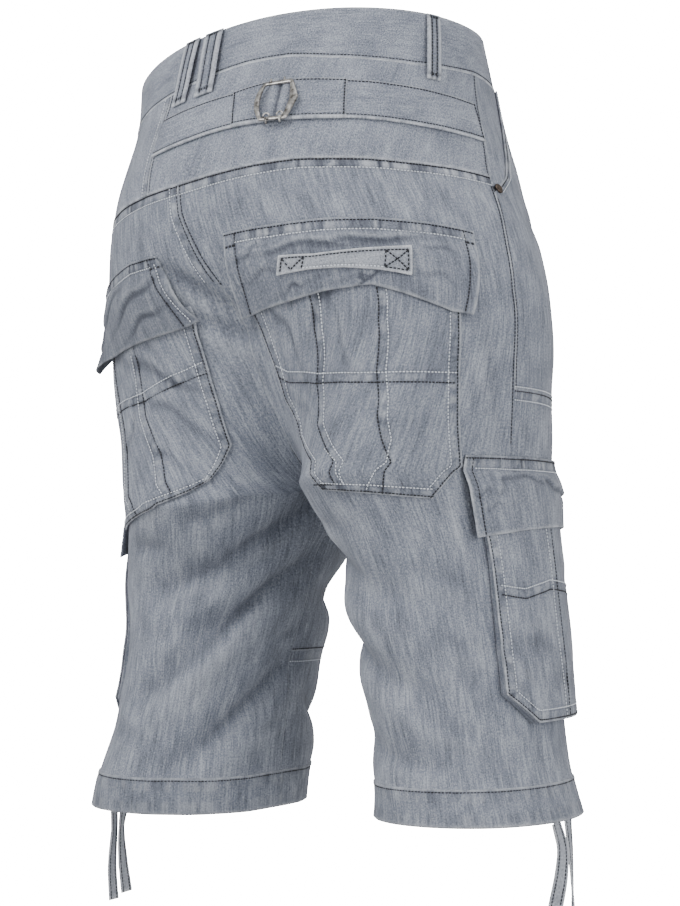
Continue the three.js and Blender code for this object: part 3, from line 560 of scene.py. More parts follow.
def buildPiece(piece):
    # makes one piece of cloth: its wall, seams, puckers, worn edges and stitches
    u, v = np.meshgrid(piece["u"], piece["v"])
    q, r, lift = piece["place"](u, v)
    q, r, lift = np.broadcast_arrays(q, r, np.asarray(lift, float))
    thick = piece["thick"]
    closed = piece.get("closed", False)
    base = folded(q, r) - waistCentre
    normals = gridNormals(base, closed, q, r)
    points = base + normals * (lift + thick)[..., None]
    flat = points.reshape(-1, 3)
    relief = np.zeros(len(flat))
    bent = np.zeros(u.shape)
    wearAndHighlight = np.zeros(len(flat))
    shade = np.zeros(len(flat))
    seed = piece.get("seed", 1)

    # stitched lines sink into the cloth, and the cloth beside them is darkened as painted shade in their
    # groove
    sunk = []
    for kind, path in piece.get("sewn", []):
        for one in ([kind] if isinstance(kind, str) else kind):
            line, _ = sewOn(piece, one, path, seed)
            sunk.append(line)
    if sunk:
        far, _ = nearest(treeOf(np.concatenate(sunk)), flat)
        relief -= 0.34 * bell(far / 1.15)
        shade += 0.4 * bell(far / 1.3)
    # the cloth between two rows of stitches puckers: its crests are paled as real roping wear, and its
    # troughs and the whole band are darkened as painted shade
    for path, half, strength in piece.get("bands", []):
        line, _, along = drawn(piece, path)
        far, where = nearest(treeOf(line), flat)
        t = along[where]
        beat = 0.75 * waver(t / 3.3, seed + 11) + 0.45 * waver(t / 1.7, seed + 23)
        share = ease((half + 0.9 - far) / 1.8) * strength
        relief += 0.44 * beat * share + 0.1 * share
        wearAndHighlight += 0.95 * np.maximum(beat, 0) * share
        shade += 0.9 * np.maximum(-beat, 0) * share + 0.08 * share
    # worn edges
    steps = [np.linalg.norm(np.diff(points, axis=axis), axis=2) for axis in (0, 1)]
    down = np.concatenate([np.zeros((1, u.shape[1])), np.cumsum(steps[0], 0)])
    across = np.concatenate([np.zeros((u.shape[0], 1)), np.cumsum(steps[1], 1)], 1)
    fromSide = {"top": down, "bottom": down[-1:] - down, "in": across, "out": across[:, -1:] - across}
    for side, (paling, lip) in piece.get("edges", {}).items():
        d = fromSide[side].ravel()
        along = (across if side in ("top", "bottom") else down).ravel()
        patch = 0.75 + 0.5 * waver(along / 5.0, seed + 31)
        wearAndHighlight += paling * bell(d / 1.25) * patch
        relief += lip * bell(d / 2.2)
    if "relief" in piece:
        bent, paler, darker = piece["relief"](u, v, q, r)
        wearAndHighlight += paler.ravel()
        shade += darker.ravel()
    # a piece may be darker toward its top or its lower edge
    shade += mix(*piece.get("dull", (0, 0)), v).ravel()
    # painted shade in the troughs of the creases and folds, and painted highlight on their ridges, carried in
    # the same attribute as the real wear
    fold = foldAt(q, r, creases).ravel()
    deep = foldAt(q, r, folds).ravel()
    shade += np.clip(-fold / 3.0, 0, 1) * 0.42 + np.clip(-deep / 7.0, 0, 1) * 0.2
    wearAndHighlight += np.clip(fold / 1.6, 0, 1) * 0.2 + np.clip(deep / 4.0, 0, 1) * 0.12
    outer = points + normals * (bent + relief.reshape(u.shape).clip(-0.5 * thick))[..., None]
    inner = points + normals * (bent - thick)[..., None]
    scale = foldRules["scale"]
    run = np.where(q < -1, q + 2, q) * scale
    uvs = np.stack([run, r] if piece.get("grain", "down") == "down" else [r, run], -1)
    uvs = uvs + np.array(piece["shift"])
    if "turned" in piece:
        angle = math.radians(piece["turned"])
        uvs = uvs @ np.array([[math.cos(angle), math.sin(angle)], [-math.sin(angle), math.cos(angle)]])
    values = {"wearAndHighlight": np.clip(wearAndHighlight, 0, 1).reshape(u.shape), "shade": np.clip(shade, 0, 1).reshape(u.shape)}
    parts = [wallFrom(outer, inner, normals, uvs, values, thick, closed)]
    first = len(parts[0][0])
    for extra in piece.get("also", []):
        part = allowance(first=first, **extra)
        first += len(part[0])
        parts.append(part)
    mesh = newMesh(piece["name"], np.concatenate([p[0] for p in parts]),
                   [np.concatenate([p[1] for p in parts])],
                   np.concatenate([p[2] for p in parts]),
                   {k: np.concatenate([p[3][k] for p in parts]) for k in ("wearAndHighlight", "shade")},
                   np.concatenate([p[4] for p in parts]))
    made = newPiece(piece["name"], mesh, [piece["material"], materials["reverse"]],
                    [piece["node"]])
    # the cut of what shows, all round where the piece is a tube
    width = across[:, -1].max()
    height = down[-1].max()
    a = points[:-1, :-1]
    cells = np.linalg.norm(np.cross(points[1:, 1:] - a, points[:-1, 1:] - points[1:, :-1]), axis=2) / 2
    area = cells.sum()
    if closed:
        width = np.linalg.norm(np.roll(points, -1, 1) - points, axis=2).sum(1).max()
        last = np.cross(points[1:, 0] - points[:-1, -1], points[:-1, 0] - points[1:, -1])
        area += np.linalg.norm(last, axis=1).sum() / 2
    report(f"{piece['name']} {len(mesh.polygons)} faces, cut {width:.0f} x {height:.0f} mm")
    return made


def allowance(q, r, dq=0.0, dr=0.0, first=0, leg=None):
    # the seam's turned-in edges, lying a little inside the cloth along a seam
    t = np.linspace(-1, 1, 5)
    q = np.asarray(q, float)
    r = np.asarray(r, float)
    if leg is None:
        a, b = np.meshgrid(t, q)
        qs = b + a * dq
        rs = np.meshgrid(t, r)[1] + a * dr
    else:
        a, rs = np.meshgrid(t, r)
        qs = leg * np.where(a >= 0, a * dq, 1 + a * dq)
        qs = np.where(np.abs(qs) < 0.0006, leg * 0.0006, qs)
    points, normals = clothAt(qs, rs, -wall["cloth"] - 0.25)
    uvs = np.stack([qs * foldRules["scale"], rs], -1)
    none = np.zeros(qs.shape)
    # the turned-in edges are darkened evenly as painted shade inside the seam
    values = {"wearAndHighlight": none + 0.15, "shade": none + 0.35}
    made = wallFrom(points, points - normals * 0.9, normals, uvs, values, 0.9, first=first)
    return made[0], made[1], made[2], made[3], np.ones(len(made[1]))


def sideQ(r):
    return lineAt("side", r)


def mouthQ(r):
    return lineAt("mouth", r)


def yokeR(q):
    return lineAt("yoke", q)


def mix(a, b, t):
    return a + (b - a) * t


sides = {"right": 1, "left": -1}


def invert(place, q, r, u=0.5, v=0.5):
    # the u and v of places given in q and r, by Newton's steps
    q = np.asarray(q, float)
    r = np.asarray(r, float)
    u = np.full(q.shape, u)
    v = np.full(q.shape, v)
    small = 1e-3
    for _ in range(14):
        q0, r0 = place(u, v)[:2]
        qu, ru = place(u + small, v)[:2]
        qv, rv = place(u, v + small)[:2]
        a, b, c, d = (qu - q0) / small, (qv - q0) / small, (ru - r0) / small, (rv - r0) / small
        det = a * d - b * c
        det = np.where(np.abs(det) < 1e-9, 1e-9, det)
        eq, er = q - q0, r - r0
        u = u + np.clip((d * eq - b * er) / det, -0.3, 0.3)
        v = v + np.clip((a * er - c * eq) / det, -0.3, 0.3)
    return np.stack([u, v], 1)


def through(place, corners):
    # a path on a piece through places given in q and r
    table = np.array(corners, float)
    return invert(place, table[:, 0], table[:, 1])


# The waistband, yoke and panels
def bandEnd(q):
    # the waistband's lower seam sags a little over the right hip and at the left of the back
    return np.interp(q, [-0.5, -0.18, -0.07, 0, 0.07, 0.146, 0.22, 0.3, 0.38, 0.46, 0.53],
                     [-19, -20.8, -21.3, -20, -18.4, -19, -22.5, -24.2, -24.6, -22.4, -19])


def makeWaistband():
    lap = 0.055

    def place(u, v):
        q = mix(-1 - lap, 1 - 2 * seamQ, u)
        lapped = ease((-0.965 - q) / 0.03) * (wall["band"] + 0.6)
        return q, mix(rows["bandTop"], bandEnd(q) + wall["seam"] / 2, v), -wall["band"] + lapped

    piece = {"name": "waistband_cloth", "node": "waistband", "place": place, "thick": wall["band"],
             "u": spacing(880, 2.3, 2.3, 10), "v": spacing(39, 1.3, 2.0, 5), "grain": "across",
             "shift": (300, 90),
             "material": materials["trim"], "slot": "denim_trim", "seed": 4,
             "edges": {"bottom": (0.95, 0.5), "top": (0.3, 0.1), "in": (0.6, 0.1), "out": (0.3, 0)}}
    piece["sewn"] = [("dark", inset(piece, "bottom", 2.6, count=160)), ("dark", inset(piece, "in", 3)),
                     ("pale", inset(piece, "in", 8))]
    n = 120
    q = np.linspace(-0.999, 0.999, n)
    piece["also"] = [{"q": q, "r": np.full(n, -19.0), "dr": 8.0}]
    buildPiece(piece)


def makeYoke():
    for word, sign in sides.items():
        begin = {"right": (-0.083 + seamQ, -0.075 + seamQ), "left": (-0.083 - seamQ, -0.075 - seamQ)}[word]

        def place(u, v, begin=begin, sign=sign):
            start = mix(begin[0], begin[1], v)
            rough = mix(rows["bandBottom"], yokeR(sign * 0.497), v)
            q = mix(start, sign * (sideQ(rough) - seamQ), u)
            return q, mix(bandEnd(q) - wall["seam"] / 2, yokeR(q) + wall["seam"] / 2, v), -wall["cloth"]

        long = {"right": 330, "left": 220}[word]
        piece = {"name": f"yoke_{word}_cloth", "node": f"yoke_{word}", "place": place, "thick": wall["cloth"],
                 "u": spacing(long, 1.5, 3.0, 12), "v": spacing(84, 1.5, 2.8, 9), "turned": 24 * sign,
                 "shift": (40 + 90 * sign, 15), "material": materials["trim"], "slot": "denim_trim",
                 "seed": 9 + sign,
                 "edges": {"bottom": (0.75, 0.55), "in": (0.7 if word == "right" else 0.2, 0.5),
                           "out": (0.3, 0.3)}}
        piece["sewn"] = [("dark", inset(piece, "out", 1.5))]
        if word == "right":
            piece["sewn"] += [("dark", inset(piece, "in", 1.8))]
        else:
            piece["sewn"] += [("dark", inset(piece, "in", 0.9)), ("pale", inset(piece, "in", 7.5))]
            piece["bands"] = [(inset(piece, "in", 4.2), 3.0, 0.5)]
        n = 60
        q = np.linspace(0.0, sign * 0.49, n)
        piece["also"] = [{"q": q, "r": yokeR(q), "dr": 8.0}]
        if word == "left":
            r = np.linspace(-24, -96, 24)
            piece["also"] += [{"q": mix(-0.083, -0.075, (-19 - r) / 80), "r": r, "dq": 0.013}]
        buildPiece(piece)


def seatQ(r):
    # the seat seam wanders off the middle between the back pockets
    return np.interp(r, [-260, -200, -171, -160, -150, -122, -102],
                     [0, 0.004, 0.002, -0.0026, -0.0065, -0.015, -0.0134])


def makeBackPanels():
    for word, sign in sides.items():
        hem = rows["casing"][word][0] + wall["seam"] / 2

        def place(u, v, sign=sign, hem=hem):
            rough = mix(yokeR(sign * 0.497), hem, v)
            seam = seatQ(mix(yokeR(0) - wall["seam"] / 2, hem, v))
            q = mix(seam + sign * seamQ, sign * (sideQ(rough) - seamQ), u)
            return q, mix(yokeR(q) - wall["seam"] / 2, hem, v), -wall["cloth"]

        piece = {"name": f"back_panel_{word}_cloth", "node": f"back_panel_{word}", "place": place,
                 "thick": wall["cloth"], "u": spacing(300, 1.5, 3.4, 12), "v": spacing(480, 1.5, 3.4, 10),
                 "shift": (170 * sign, 0), "material": materials["denim"], "seed": 14 + sign,
                 "edges": {"in": (0.3 if word == "right" else 0.15, 0.25), "bottom": (0.2, 0.1),
                           "top": (0.15, -0.3)}}
        piece["sewn"] = [("dark", inset(piece, "top", 1.0, count=80)),
                         ("pale", inset(piece, "top", 8.2, count=80)),
                         ("dark", inset(piece, "in", 1.4, 0, 0.15, 50)),
                         ("dark", inset(piece, "out", 1.2, 0.02, 0.44, 60))]
        piece["bands"] = [(inset(piece, "top", 4.6, count=80), 3.1, 1.0)]
        if word == "left":
            piece["sewn"] += [("pale", inset(piece, "in", 7.6, 0, 0.15, 50))]
            piece["bands"] += [(inset(piece, "in", 4.5, 0, 0.15, 50), 2.8, 0.7)]
        r = np.linspace(-104, -322, 70)
        n = np.linspace(-326, hem + 2, 70)
        piece["also"] = [{"q": sign * sideQ(np.linspace(-112, hem + 2, 120)),
                          "r": np.linspace(-112, hem + 2, 120), "dq": 0.014},
                         {"q": n, "r": n, "dq": 0.014, "leg": sign}]
        if word == "right":
            piece["also"] += [{"q": seatQ(r) + 1e-4, "r": r, "dq": 0.014}]
        buildPiece(piece)


def makeFronts():
    for word, sign in sides.items():
        hem = rows["casing"][word][0] + wall["seam"] / 2
        half = wall["seam"] / 2

        def edge(r):
            return np.where(r > rows["mouth"], mouthQ(r), sideQ(r)) + seamQ

        def placeUpper(u, v, sign=sign):
            r = mix(rows["bandBottom"] - half, rows["thigh"] + half, v)
            stand = np.where(r > rows["mouth"], 2.4 * np.exp(-u / 0.12) * ease((r - rows["mouth"]) / 22), 0)
            return sign * mix(edge(r), 1 - seamQ, u), r, -wall["cloth"] + stand

        def placeThigh(u, v, sign=sign):
            r = mix(rows["thigh"] - half, rows["knee"] + half, v)
            return sign * mix(edge(r), 1 - seamQ, u), r, -wall["cloth"]

        def placeKnee(u, v, sign=sign, hem=hem):
            r = mix(rows["knee"] - half, hem, v)
            return sign * mix(edge(r), 1 - seamQ, u), r, -wall["cloth"]

        def placeFacing(u, v, sign=sign):
            r = mix(rows["bandBottom"] - half, -118, v)
            under = 0.012 * ease((r + 104) / 30)
            return sign * mix(sideQ(r) + seamQ, mouthQ(r) - seamQ + under, u), r, -wall["cloth"]

        upper = {"name": f"front_upper_{word}_cloth", "node": f"front_upper_{word}", "place": placeUpper,
                 "thick": wall["cloth"], "u": spacing(230, 1.5, 3.4, 10), "v": spacing(260, 1.5, 3.4, 8),
                 "seed": 21 + sign,
                 "edges": {"in": (0.7, 0.2), "bottom": (0.3, 0.2), "out": (0.3, 0.2)}}
        upper["sewn"] = [("dark", inset(upper, "in", 1.6, 0.005, 0.41, 60)),
                         ("pale", inset(upper, "in", 7.6, 0.005, 0.41, 60)),
                         ("dark", inset(upper, "in", 1.3, 0.44, 0.995, 60)),
                         ("pale", inset(upper, "bottom", 1.6)),
                         ("dark", inset(upper, "out", 1.6, 0.3, 1.0, 60))]
        upper["bands"] = [(inset(upper, "in", 4.6, 0.005, 0.41, 60), 2.6, 0.6)]
        thigh = {"name": f"front_thigh_{word}_cloth", "node": f"front_thigh_{word}", "place": placeThigh,
                 "thick": wall["cloth"], "u": spacing(240, 1.5, 3.4, 8), "v": spacing(180, 1.5, 3.4, 8),
                 "seed": 27 + sign,
                 "edges": {"top": (0.3, 0.2), "bottom": (0.5, 0.3)}}
        thigh["sewn"] = [("dark", inset(thigh, "top", 1.2, count=60)),
                         ("pale", inset(thigh, "top", 7.8, count=60)),
                         ("dark", inset(thigh, "bottom", 1.2, count=60))]
        thigh["bands"] = [(inset(thigh, "top", 4.4, count=60), 2.8, 0.7)]
        knee = {"name": f"front_knee_{word}_cloth", "node": f"front_knee_{word}", "place": placeKnee,
                "thick": wall["cloth"], "u": spacing(240, 1.5, 3.4, 8), "v": spacing(105, 1.5, 3.4, 8),
                "seed": 33 + sign,
                "edges": {"top": (0.2, -0.2), "bottom": (0.2, 0.1)}}
        knee["sewn"] = [("pale", inset(knee, "top", 8.5, count=60))]
        knee["bands"] = [(inset(knee, "top", 4.6, count=60), 3.2, 0.6)]
        facing = {"name": f"hip_facing_{word}_cloth", "node": f"hip_facing_{word}", "place": placeFacing,
                  "thick": wall["cloth"], "u": spacing(52, 1.4, 2.6, 8), "v": spacing(98, 1.5, 2.6, 4),
                  "seed": 39 + sign,
                  "edges": {"in": (0.3, 0.2), "out": (0.7, 0.2)}}
        q = np.linspace(sign * 0.5, sign * 0.999, 60)
        upper["also"] = [{"q": q, "r": np.full(60, float(rows["thigh"])), "dr": 8.0}]
        thigh["also"] = [{"q": q, "r": np.full(60, float(rows["knee"])), "dr": 8.0}]
        if word == "right":
            r = np.linspace(-24, -322, 90)
            upper["also"] += [{"q": np.full(90, 0.9999), "r": r, "dq": 0.014}]
        for piece in (upper, thigh, knee, facing):
            piece.update({"material": materials["denim"], "shift": (90 * sign, 40)})
            buildPiece(piece)


def makeFly():
    def place(u, v):
        r = mix(rows["bandBottom"] - 1, -182, v)
        inward = 0.055 * ease((r + 182) / 40)
        return mix(-1 - inward - 0.004, -0.985, u), r, wall["onPanel"]

    piece = {"name": "fly_flap_cloth", "node": "fly_flap", "place": place, "thick": wall["trim"],
             "u": spacing(38, 1.5, 2.2, 5), "v": spacing(165, 1.6, 2.4, 5), "material": materials["denim"],
             "shift": (260, 10), "seed": 44, "edges": {"in": (0.6, 0.1), "out": (0.7, 0.1),
                                                       "bottom": (0.5, 0)}}
    piece["sewn"] = [("dark", inset(piece, "out", 1.6)), ("dark", inset(piece, "in", 1.6, 0, 0.97)),
                     ("pale", inset(piece, "in", 6.5, 0, 0.86))]
    piece["bands"] = [(inset(piece, "in", 4.0, 0, 0.86), 2.2, 0.5)]
    buildPiece(piece)


def makeHems():
    for word, sign in sides.items():
        top, bottom = rows["casing"][word]

        def place(u, v, sign=sign, top=top, bottom=bottom):
            q = sign * (u % 1.0 + 0.0001).clip(0, 0.9998)
            return q, mix(top - wall["seam"] / 2, bottom, v), -wall["cloth"]

        count = 240
        piece = {"name": f"hem_casing_{word}_cloth", "node": f"hem_casing_{word}", "place": place,
                 "thick": wall["hem"],
                 "u": np.arange(count) / count, "v": spacing(27, 1.4, 2.2, 6), "closed": True,
                 "grain": "down",
                 "shift": (20 * sign, 300), "material": materials["denim"], "seed": 48 + sign,
                 "dull": (0.08, 0.1),
                 "edges": {"bottom": (0.55, 0.2), "top": (0.6, 0.35)}}
        path = lambda share: np.stack([np.linspace(0.001, 0.9985, 160), np.full(160, share)], 1)
        piece["sewn"] = [("dark", path(0.055))]
        piece["bands"] = [(path(0.2), 4.5, 0.35), (path(0.8), 4.0, 0.35)]
        q = sign * np.linspace(0.001, 0.999, 130)
        piece["also"] = [{"q": q, "r": np.full(130, float(top)), "dr": 5.0}]
        buildPiece(piece)


# Pockets
backPocket = {
    "right": {"at": [0, 0.2, 0.4, 0.6, 0.82, 1],
              "inQ": [0.03, 0.04, 0.057, 0.106, 0.195, 0.216], "in": [-186, -228, -266, -295, -317, -335],
              "outQ": [0.372, 0.368, 0.381, 0.396, 0.415, 0.367],
              "out": [-188, -224, -256, -288, -322, -343]},
    "left": {"at": [0, 0.2, 0.4, 0.6, 0.82, 1],
             "inQ": [0.044, 0.058, 0.07, 0.09, 0.126, 0.16], "in": [-186, -228, -256, -286, -299, -310],
             "outQ": [0.4, 0.395, 0.39, 0.395, 0.41, 0.37], "out": [-184, -222, -256, -290, -326, -343]},
}
backFlap = {
    "right": {"at": [0, 0.2, 0.4, 0.583, 0.88, 1],
              "topQ": [0.042, 0.115, 0.19, 0.26, 0.37, 0.413],
              "top": [-147, -150, -151.6, -154.5, -161.5, -164.6],
              "endQ": [0.018, 0.1, 0.162, 0.232, 0.352, 0.387],
              "end": [-203, -203, -200.1, -200.4, -222, -224]},
    "left": {"at": [0, 0.2, 0.45, 0.72, 0.86, 1],
             "topQ": [0.07, 0.13, 0.22, 0.32, 0.365, 0.41], "top": [-146, -143.5, -145, -150, -153, -156],
             "endQ": [0.042, 0.11, 0.21, 0.315, 0.355, 0.395],
             "end": [-198, -198.5, -199, -203, -203.5, -188]},
}
flapRoom = {"back": 4.2, "cargo": 6.7}
pocketRows = {
    # each line: black stitches through these places in q and r, and white ones beside them, in q
    "right": [([(0.137, -193), (0.138, -209.5), (0.151, -236), (0.169, -265), (0.2096, -299.4),
                (0.2442, -332), (0.2442, -341)], 0.013),
              ([(0.238, -199), (0.25, -232), (0.278, -276), (0.301, -304), (0.3045, -343)], 0.013)],
    "left": [([(-0.182, -194), (-0.188, -210), (-0.215, -250), (-0.225, -316)], -0.015),
             ([(-0.275, -196), (-0.285, -236), (-0.295, -277), (-0.3, -330)], -0.015)],
}
pocketAcross = {
    "right": [(0.05, -218), (0.0806, -228.7), (0.157, -245), (0.266, -257.5), (0.38, -261.4)],
    "left": [(-0.062, -206), (-0.12, -215), (-0.205, -230), (-0.32, -238), (-0.385, -240)],
}


def makeBackPockets():
    for word, sign in sides.items():
        table = backPocket[word]
        col = lambda key, v, table=table: np.interp(v, table["at"], table[key])

        def place(u, v, sign=sign, col=col):
            q = mix(col("inQ", v), col("outQ", v), u)
            height = mix(col("in", v), col("out", v), u)
            full = 4 * np.sin(math.pi * u).clip(0) * np.sin(math.pi * v).clip(0)
            return sign * q, rowAt(q, height), wall["onPanel"] + 0.5 + full

        body = {"name": f"back_pocket_{word}_cloth", "node": f"back_pocket_{word}", "place": place,
                "thick": wall["trim"], "u": spacing(190, 1.5, 1.9, 10), "v": spacing(150, 1.5, 1.9, 10),
                "shift": (37 * sign, 77), "material": materials["denim"], "seed": 52 + sign,
                "dull": (0.14, 0.04),
                "edges": {"in": (0.75, 0.15), "out": (0.75, 0.15), "bottom": (0.75, 0.15)}}
        body["sewn"] = [("dark", inset(body, "in", 1.7, 0.03, 1)),
                        ("pale", inset(body, "in", 8.6, 0.03, 0.96)),
                        ("dark", inset(body, "out", 1.7, 0.03, 1)),
                        ("pale", inset(body, "out", 8.6, 0.03, 0.96)),
                        ("dark", inset(body, "bottom", 1.7)),
                        ("pale", inset(body, "bottom", 8.6, 0.05, 0.95))]
        body["bands"] = [(inset(body, side, 5.1, 0.04, 0.97), 3.0, 0.45) for side in ("in", "out", "bottom")]
        # the pleats: black stitches with white ones beside them, and a band of each across the pocket
        for corners, beside in pocketRows[word]:
            dark = through(place, corners)
            pale = through(place, [(q + beside, r) for q, r in corners])
            body["sewn"] += [("dark", dark), ("pale", pale)]
            body["bands"] += [((dark + pale) / 2, 3.0, 0.4)]
        low = through(place, [(q, r - 6.6) for q, r in pocketAcross[word]])
        high = through(place, pocketAcross[word])
        body["sewn"] += [("dark", low), ("pale", high)]
        body["bands"] += [((low + high) / 2, 3.0, 0.5)]
        body["relief"] = lambda u, v, q, r, s=sign: pocketCreases(u, v, s)
        buildPiece(body)
        makeBackFlap(word, sign)


def troughs(u, v, table):
    # soft creases on a piece: from u, v to u, v, with width in shares of the piece and depth in mm
    moved = np.zeros(u.shape)
    for u0, v0, u1, v1, width, depth in table:
        du, dv = (u1 - u0), (v1 - v0) * 0.5
        length = math.hypot(du, dv)
        x, y = u - u0, (v - v0) * 0.5
        s = np.clip((x * du + y * dv) / length**2, 0, 1)
        bend = 0.012 * np.sin(s * 7 + u0 * 9)
        off = (x * dv - y * du) / length + bend
        past = np.hypot(x - du * s, y - dv * s) - np.abs(off - bend)
        fade = np.sin(math.pi * (0.12 + 0.76 * s)) * np.exp(-np.maximum(past, 0) * 9)
        moved += -depth * fade * bell(off / width) + depth * 0.55 * fade * bell((off - 1.8 * width) / width)
    # their ridges are painted paler and their troughs darker: painted highlight and painted shade
    return moved, np.clip(moved / 1.4, 0, 1) * 0.3, np.clip(-moved / 1.2, 0, 1) * 0.5


def pocketCreases(u, v, sign):
    if sign > 0:
        table = [(0.10, 0.06, 0.2, 0.3, 0.013, 1.2), (0.14, 0.1, 0.4, 0.05, 0.012, 1.0),
                 (0.38, 0.12, 0.52, 0.42, 0.01, 0.9),
                 (0.3, 0.16, 0.42, 0.02, 0.014, 1.1), (0.1, 0.42, 0.24, 0.6, 0.014, 0.6),
                 (0.6, 0.5, 0.66, 0.74, 0.012, 0.4)]
    else:
        table = [(0.06, 0.3, 0.5, 0.1, 0.014, 1.4), (0.12, 0.5, 0.42, 0.3, 0.014, 1.0),
                 (0.5, 0.3, 0.7, 0.6, 0.012, 0.8),
                 (0.2, 0.16, 0.36, 0.06, 0.012, 0.9), (0.3, 0.7, 0.5, 0.5, 0.014, 0.7)]
    return troughs(u, v, table)


def makeBackFlap(word, sign):
    table = backFlap[word]
    bulge = 11 if word == "left" else 0
    col = lambda key, u: np.interp(u, table["at"], table[key])

    def place(u, v):
        q = mix(col("topQ", u), col("endQ", u), v)
        height = mix(col("top", u), col("end", u), v)
        off = bulge * bell((q - 0.33) / 0.07) * v * v
        return sign * q, rowAt(q, height), wall["onPanel"] + flapRoom["back"] * ease(v / 0.5) + off

    flap = {"name": f"back_flap_{word}_cloth", "node": f"back_flap_{word}", "place": place,
            "thick": wall["trim"],
            "u": spacing(200, 1.4, 1.7, 10), "v": spacing(57, 1.3, 1.6, 8), "shift": (71 * sign, 33),
            "material": materials["denim"], "seed": 61 + sign,
            "dull": {"right": (0.08, 0.28), "left": (0.2, 0.46)}[word],
            "edges": {"in": (0.9, 0.1), "out": (0.9, 0.1), "bottom": (0.75, 0.1), "top": (0.35, 0.15)}}
    flap["sewn"] = [(("dark", "dark"), inset(flap, "top", 1.7)),
                    ("pale", inset(flap, "top", 9.2, 0.045, 0.955)),
                    ("dark", inset(flap, "in", 9.6, 0.02, 0.99)),
                    ("dark", inset(flap, "out", 9.6, 0.02, 0.99))]
    for side, by in (("in", 9.6), ("out", 9.6)):
        start = inset(flap, side, 0.8, 0.165, 0.165, 2)[0]
        stop = inset(flap, side, by, 0.165, 0.165, 2)[0]
        flap["sewn"] += [("dark", [start, stop]), ("dark", [start + (0, 0.012), stop + (0, 0.012)])]
    flap["bands"] = [(inset(flap, "top", 5.4, 0.03, 0.97), 3.2, 0.8)]
    if word == "left":
        flap["sewn"] += [("pale", inset(flap, "in", 4.6, 0.1, 0.98))]
    folds = {
        # above the tab, along the lower edge and at the crease in its middle
        "right": [(0.15, 0.32, 0.5, 0.385, 0.012, 2.2), (0.42, 0.385, 0.73, 0.285, 0.013, 2.6),
                  (0.06, 0.33, 0.17, 0.24, 0.01, 1.0), (0.74, 0.3, 0.93, 0.38, 0.01, 0.9),
                  (0.06, 0.62, 0.2, 0.56, 0.01, 0.8),
                  (0.21, 0.87, 0.31, 0.82, 0.01, 1.2), (0.545, 1.0, 0.545, 0.87, 0.009, 2.4),
                  (0.545, 0.89, 0.61, 0.84, 0.011, 1.6), (0.74, 0.66, 0.88, 0.7, 0.01, 0.6)],
        "left": [(0.06, 0.3, 0.4, 0.62, 0.012, 1.8), (0.3, 0.22, 0.62, 0.5, 0.013, 1.6),
                 (0.1, 0.66, 0.34, 0.84, 0.012, 1.4),
                 (0.5, 0.3, 0.78, 0.46, 0.013, 1.4), (0.6, 0.62, 0.8, 0.84, 0.012, 1.6)],
    }[word]
    flat = [(u0, v0 * 0.6, u1, v1 * 0.6, width, depth) for u0, v0, u1, v1, width, depth in folds]
    flap["relief"] = lambda u, v, q, r: troughs(u, v * 0.6, flat)
    buildPiece(flap)
    if word == "right":
        makeTab()


def makeTab():
    at = [0, 0.25, 0.5, 0.75, 1]
    top = [-171.7, -175, -175.8, -176.8, -177.2]
    end = [-183.5, -183.9, -186.3, -191, -197.2]

    def place(u, v):
        q = mix(mix(0.117, 0.3007, u), mix(0.1044, 0.2915, u), v)
        height = mix(np.interp(u, at, top), np.interp(u, at, end), v)
        return q, rowAt(q, height), wall["onPanel"] + flapRoom["back"] + wall["trim"] + 0.9

    tab = {"name": "flap_tab_cloth", "node": "flap_tab_right", "place": place, "thick": wall["trim"],
           "u": spacing(104, 1.2, 1.5, 8), "v": spacing(16, 1.0, 1.4, 4), "grain": "across",
           "shift": (11, 52),
           "material": materials["tape"], "slot": "denim_tape", "seed": 71,
           "edges": {"top": (1.0, 0.35), "bottom": (1.0, 0.3), "in": (0.9, 0.2), "out": (0.9, 0.2)}}
    box = [(0.025, 0.185), (0.795, 0.975)]
    tab["sewn"] = [("dark", [(0.02, 0.13), (0.98, 0.13)]), ("pale", [(0.19, 0.88), (0.79, 0.88)])]
    for a, b in box:
        tab["sewn"] += [("dark", [(a, 0.13), (a, 0.87)]), ("dark", [(b, 0.13), (b, 0.87)])]
    a, b = box[0]
    tab["sewn"] += [("dark", [(a, 0.15), ((a + b) / 2, 0.84)]), ("dark", [((a + b) / 2, 0.84), (b, 0.15)])]
    a, b = box[1]
    tab["sewn"] += [("dark", [(a, 0.15), (b, 0.86)]), ("dark", [(a, 0.86), (b, 0.15)]),
                    ("dark", [(a, 0.88), (b, 0.88)])]
    buildPiece(tab)


cargo = {"toQ": 0.694, "top": -340, "corner": -486, "bottom": -509, "cutIn": 0.05}
cargoFlap = {"fromTopQ": 0.418, "toTopQ": 0.69, "top": -315,
             "fromEndQ": 0.409, "toEndQ": 0.7, "end": -369, "mid": -364}


def cargoFrom(r):
    return mix(0.428, 0.415, (cargo["top"] - r) / (cargo["top"] - cargo["bottom"]))


def cargoDepth(r):
    # the pocket deepens downward
    return mix(1.5, 7.5, (cargo["top"] - r) / (cargo["top"] - cargo["bottom"]))


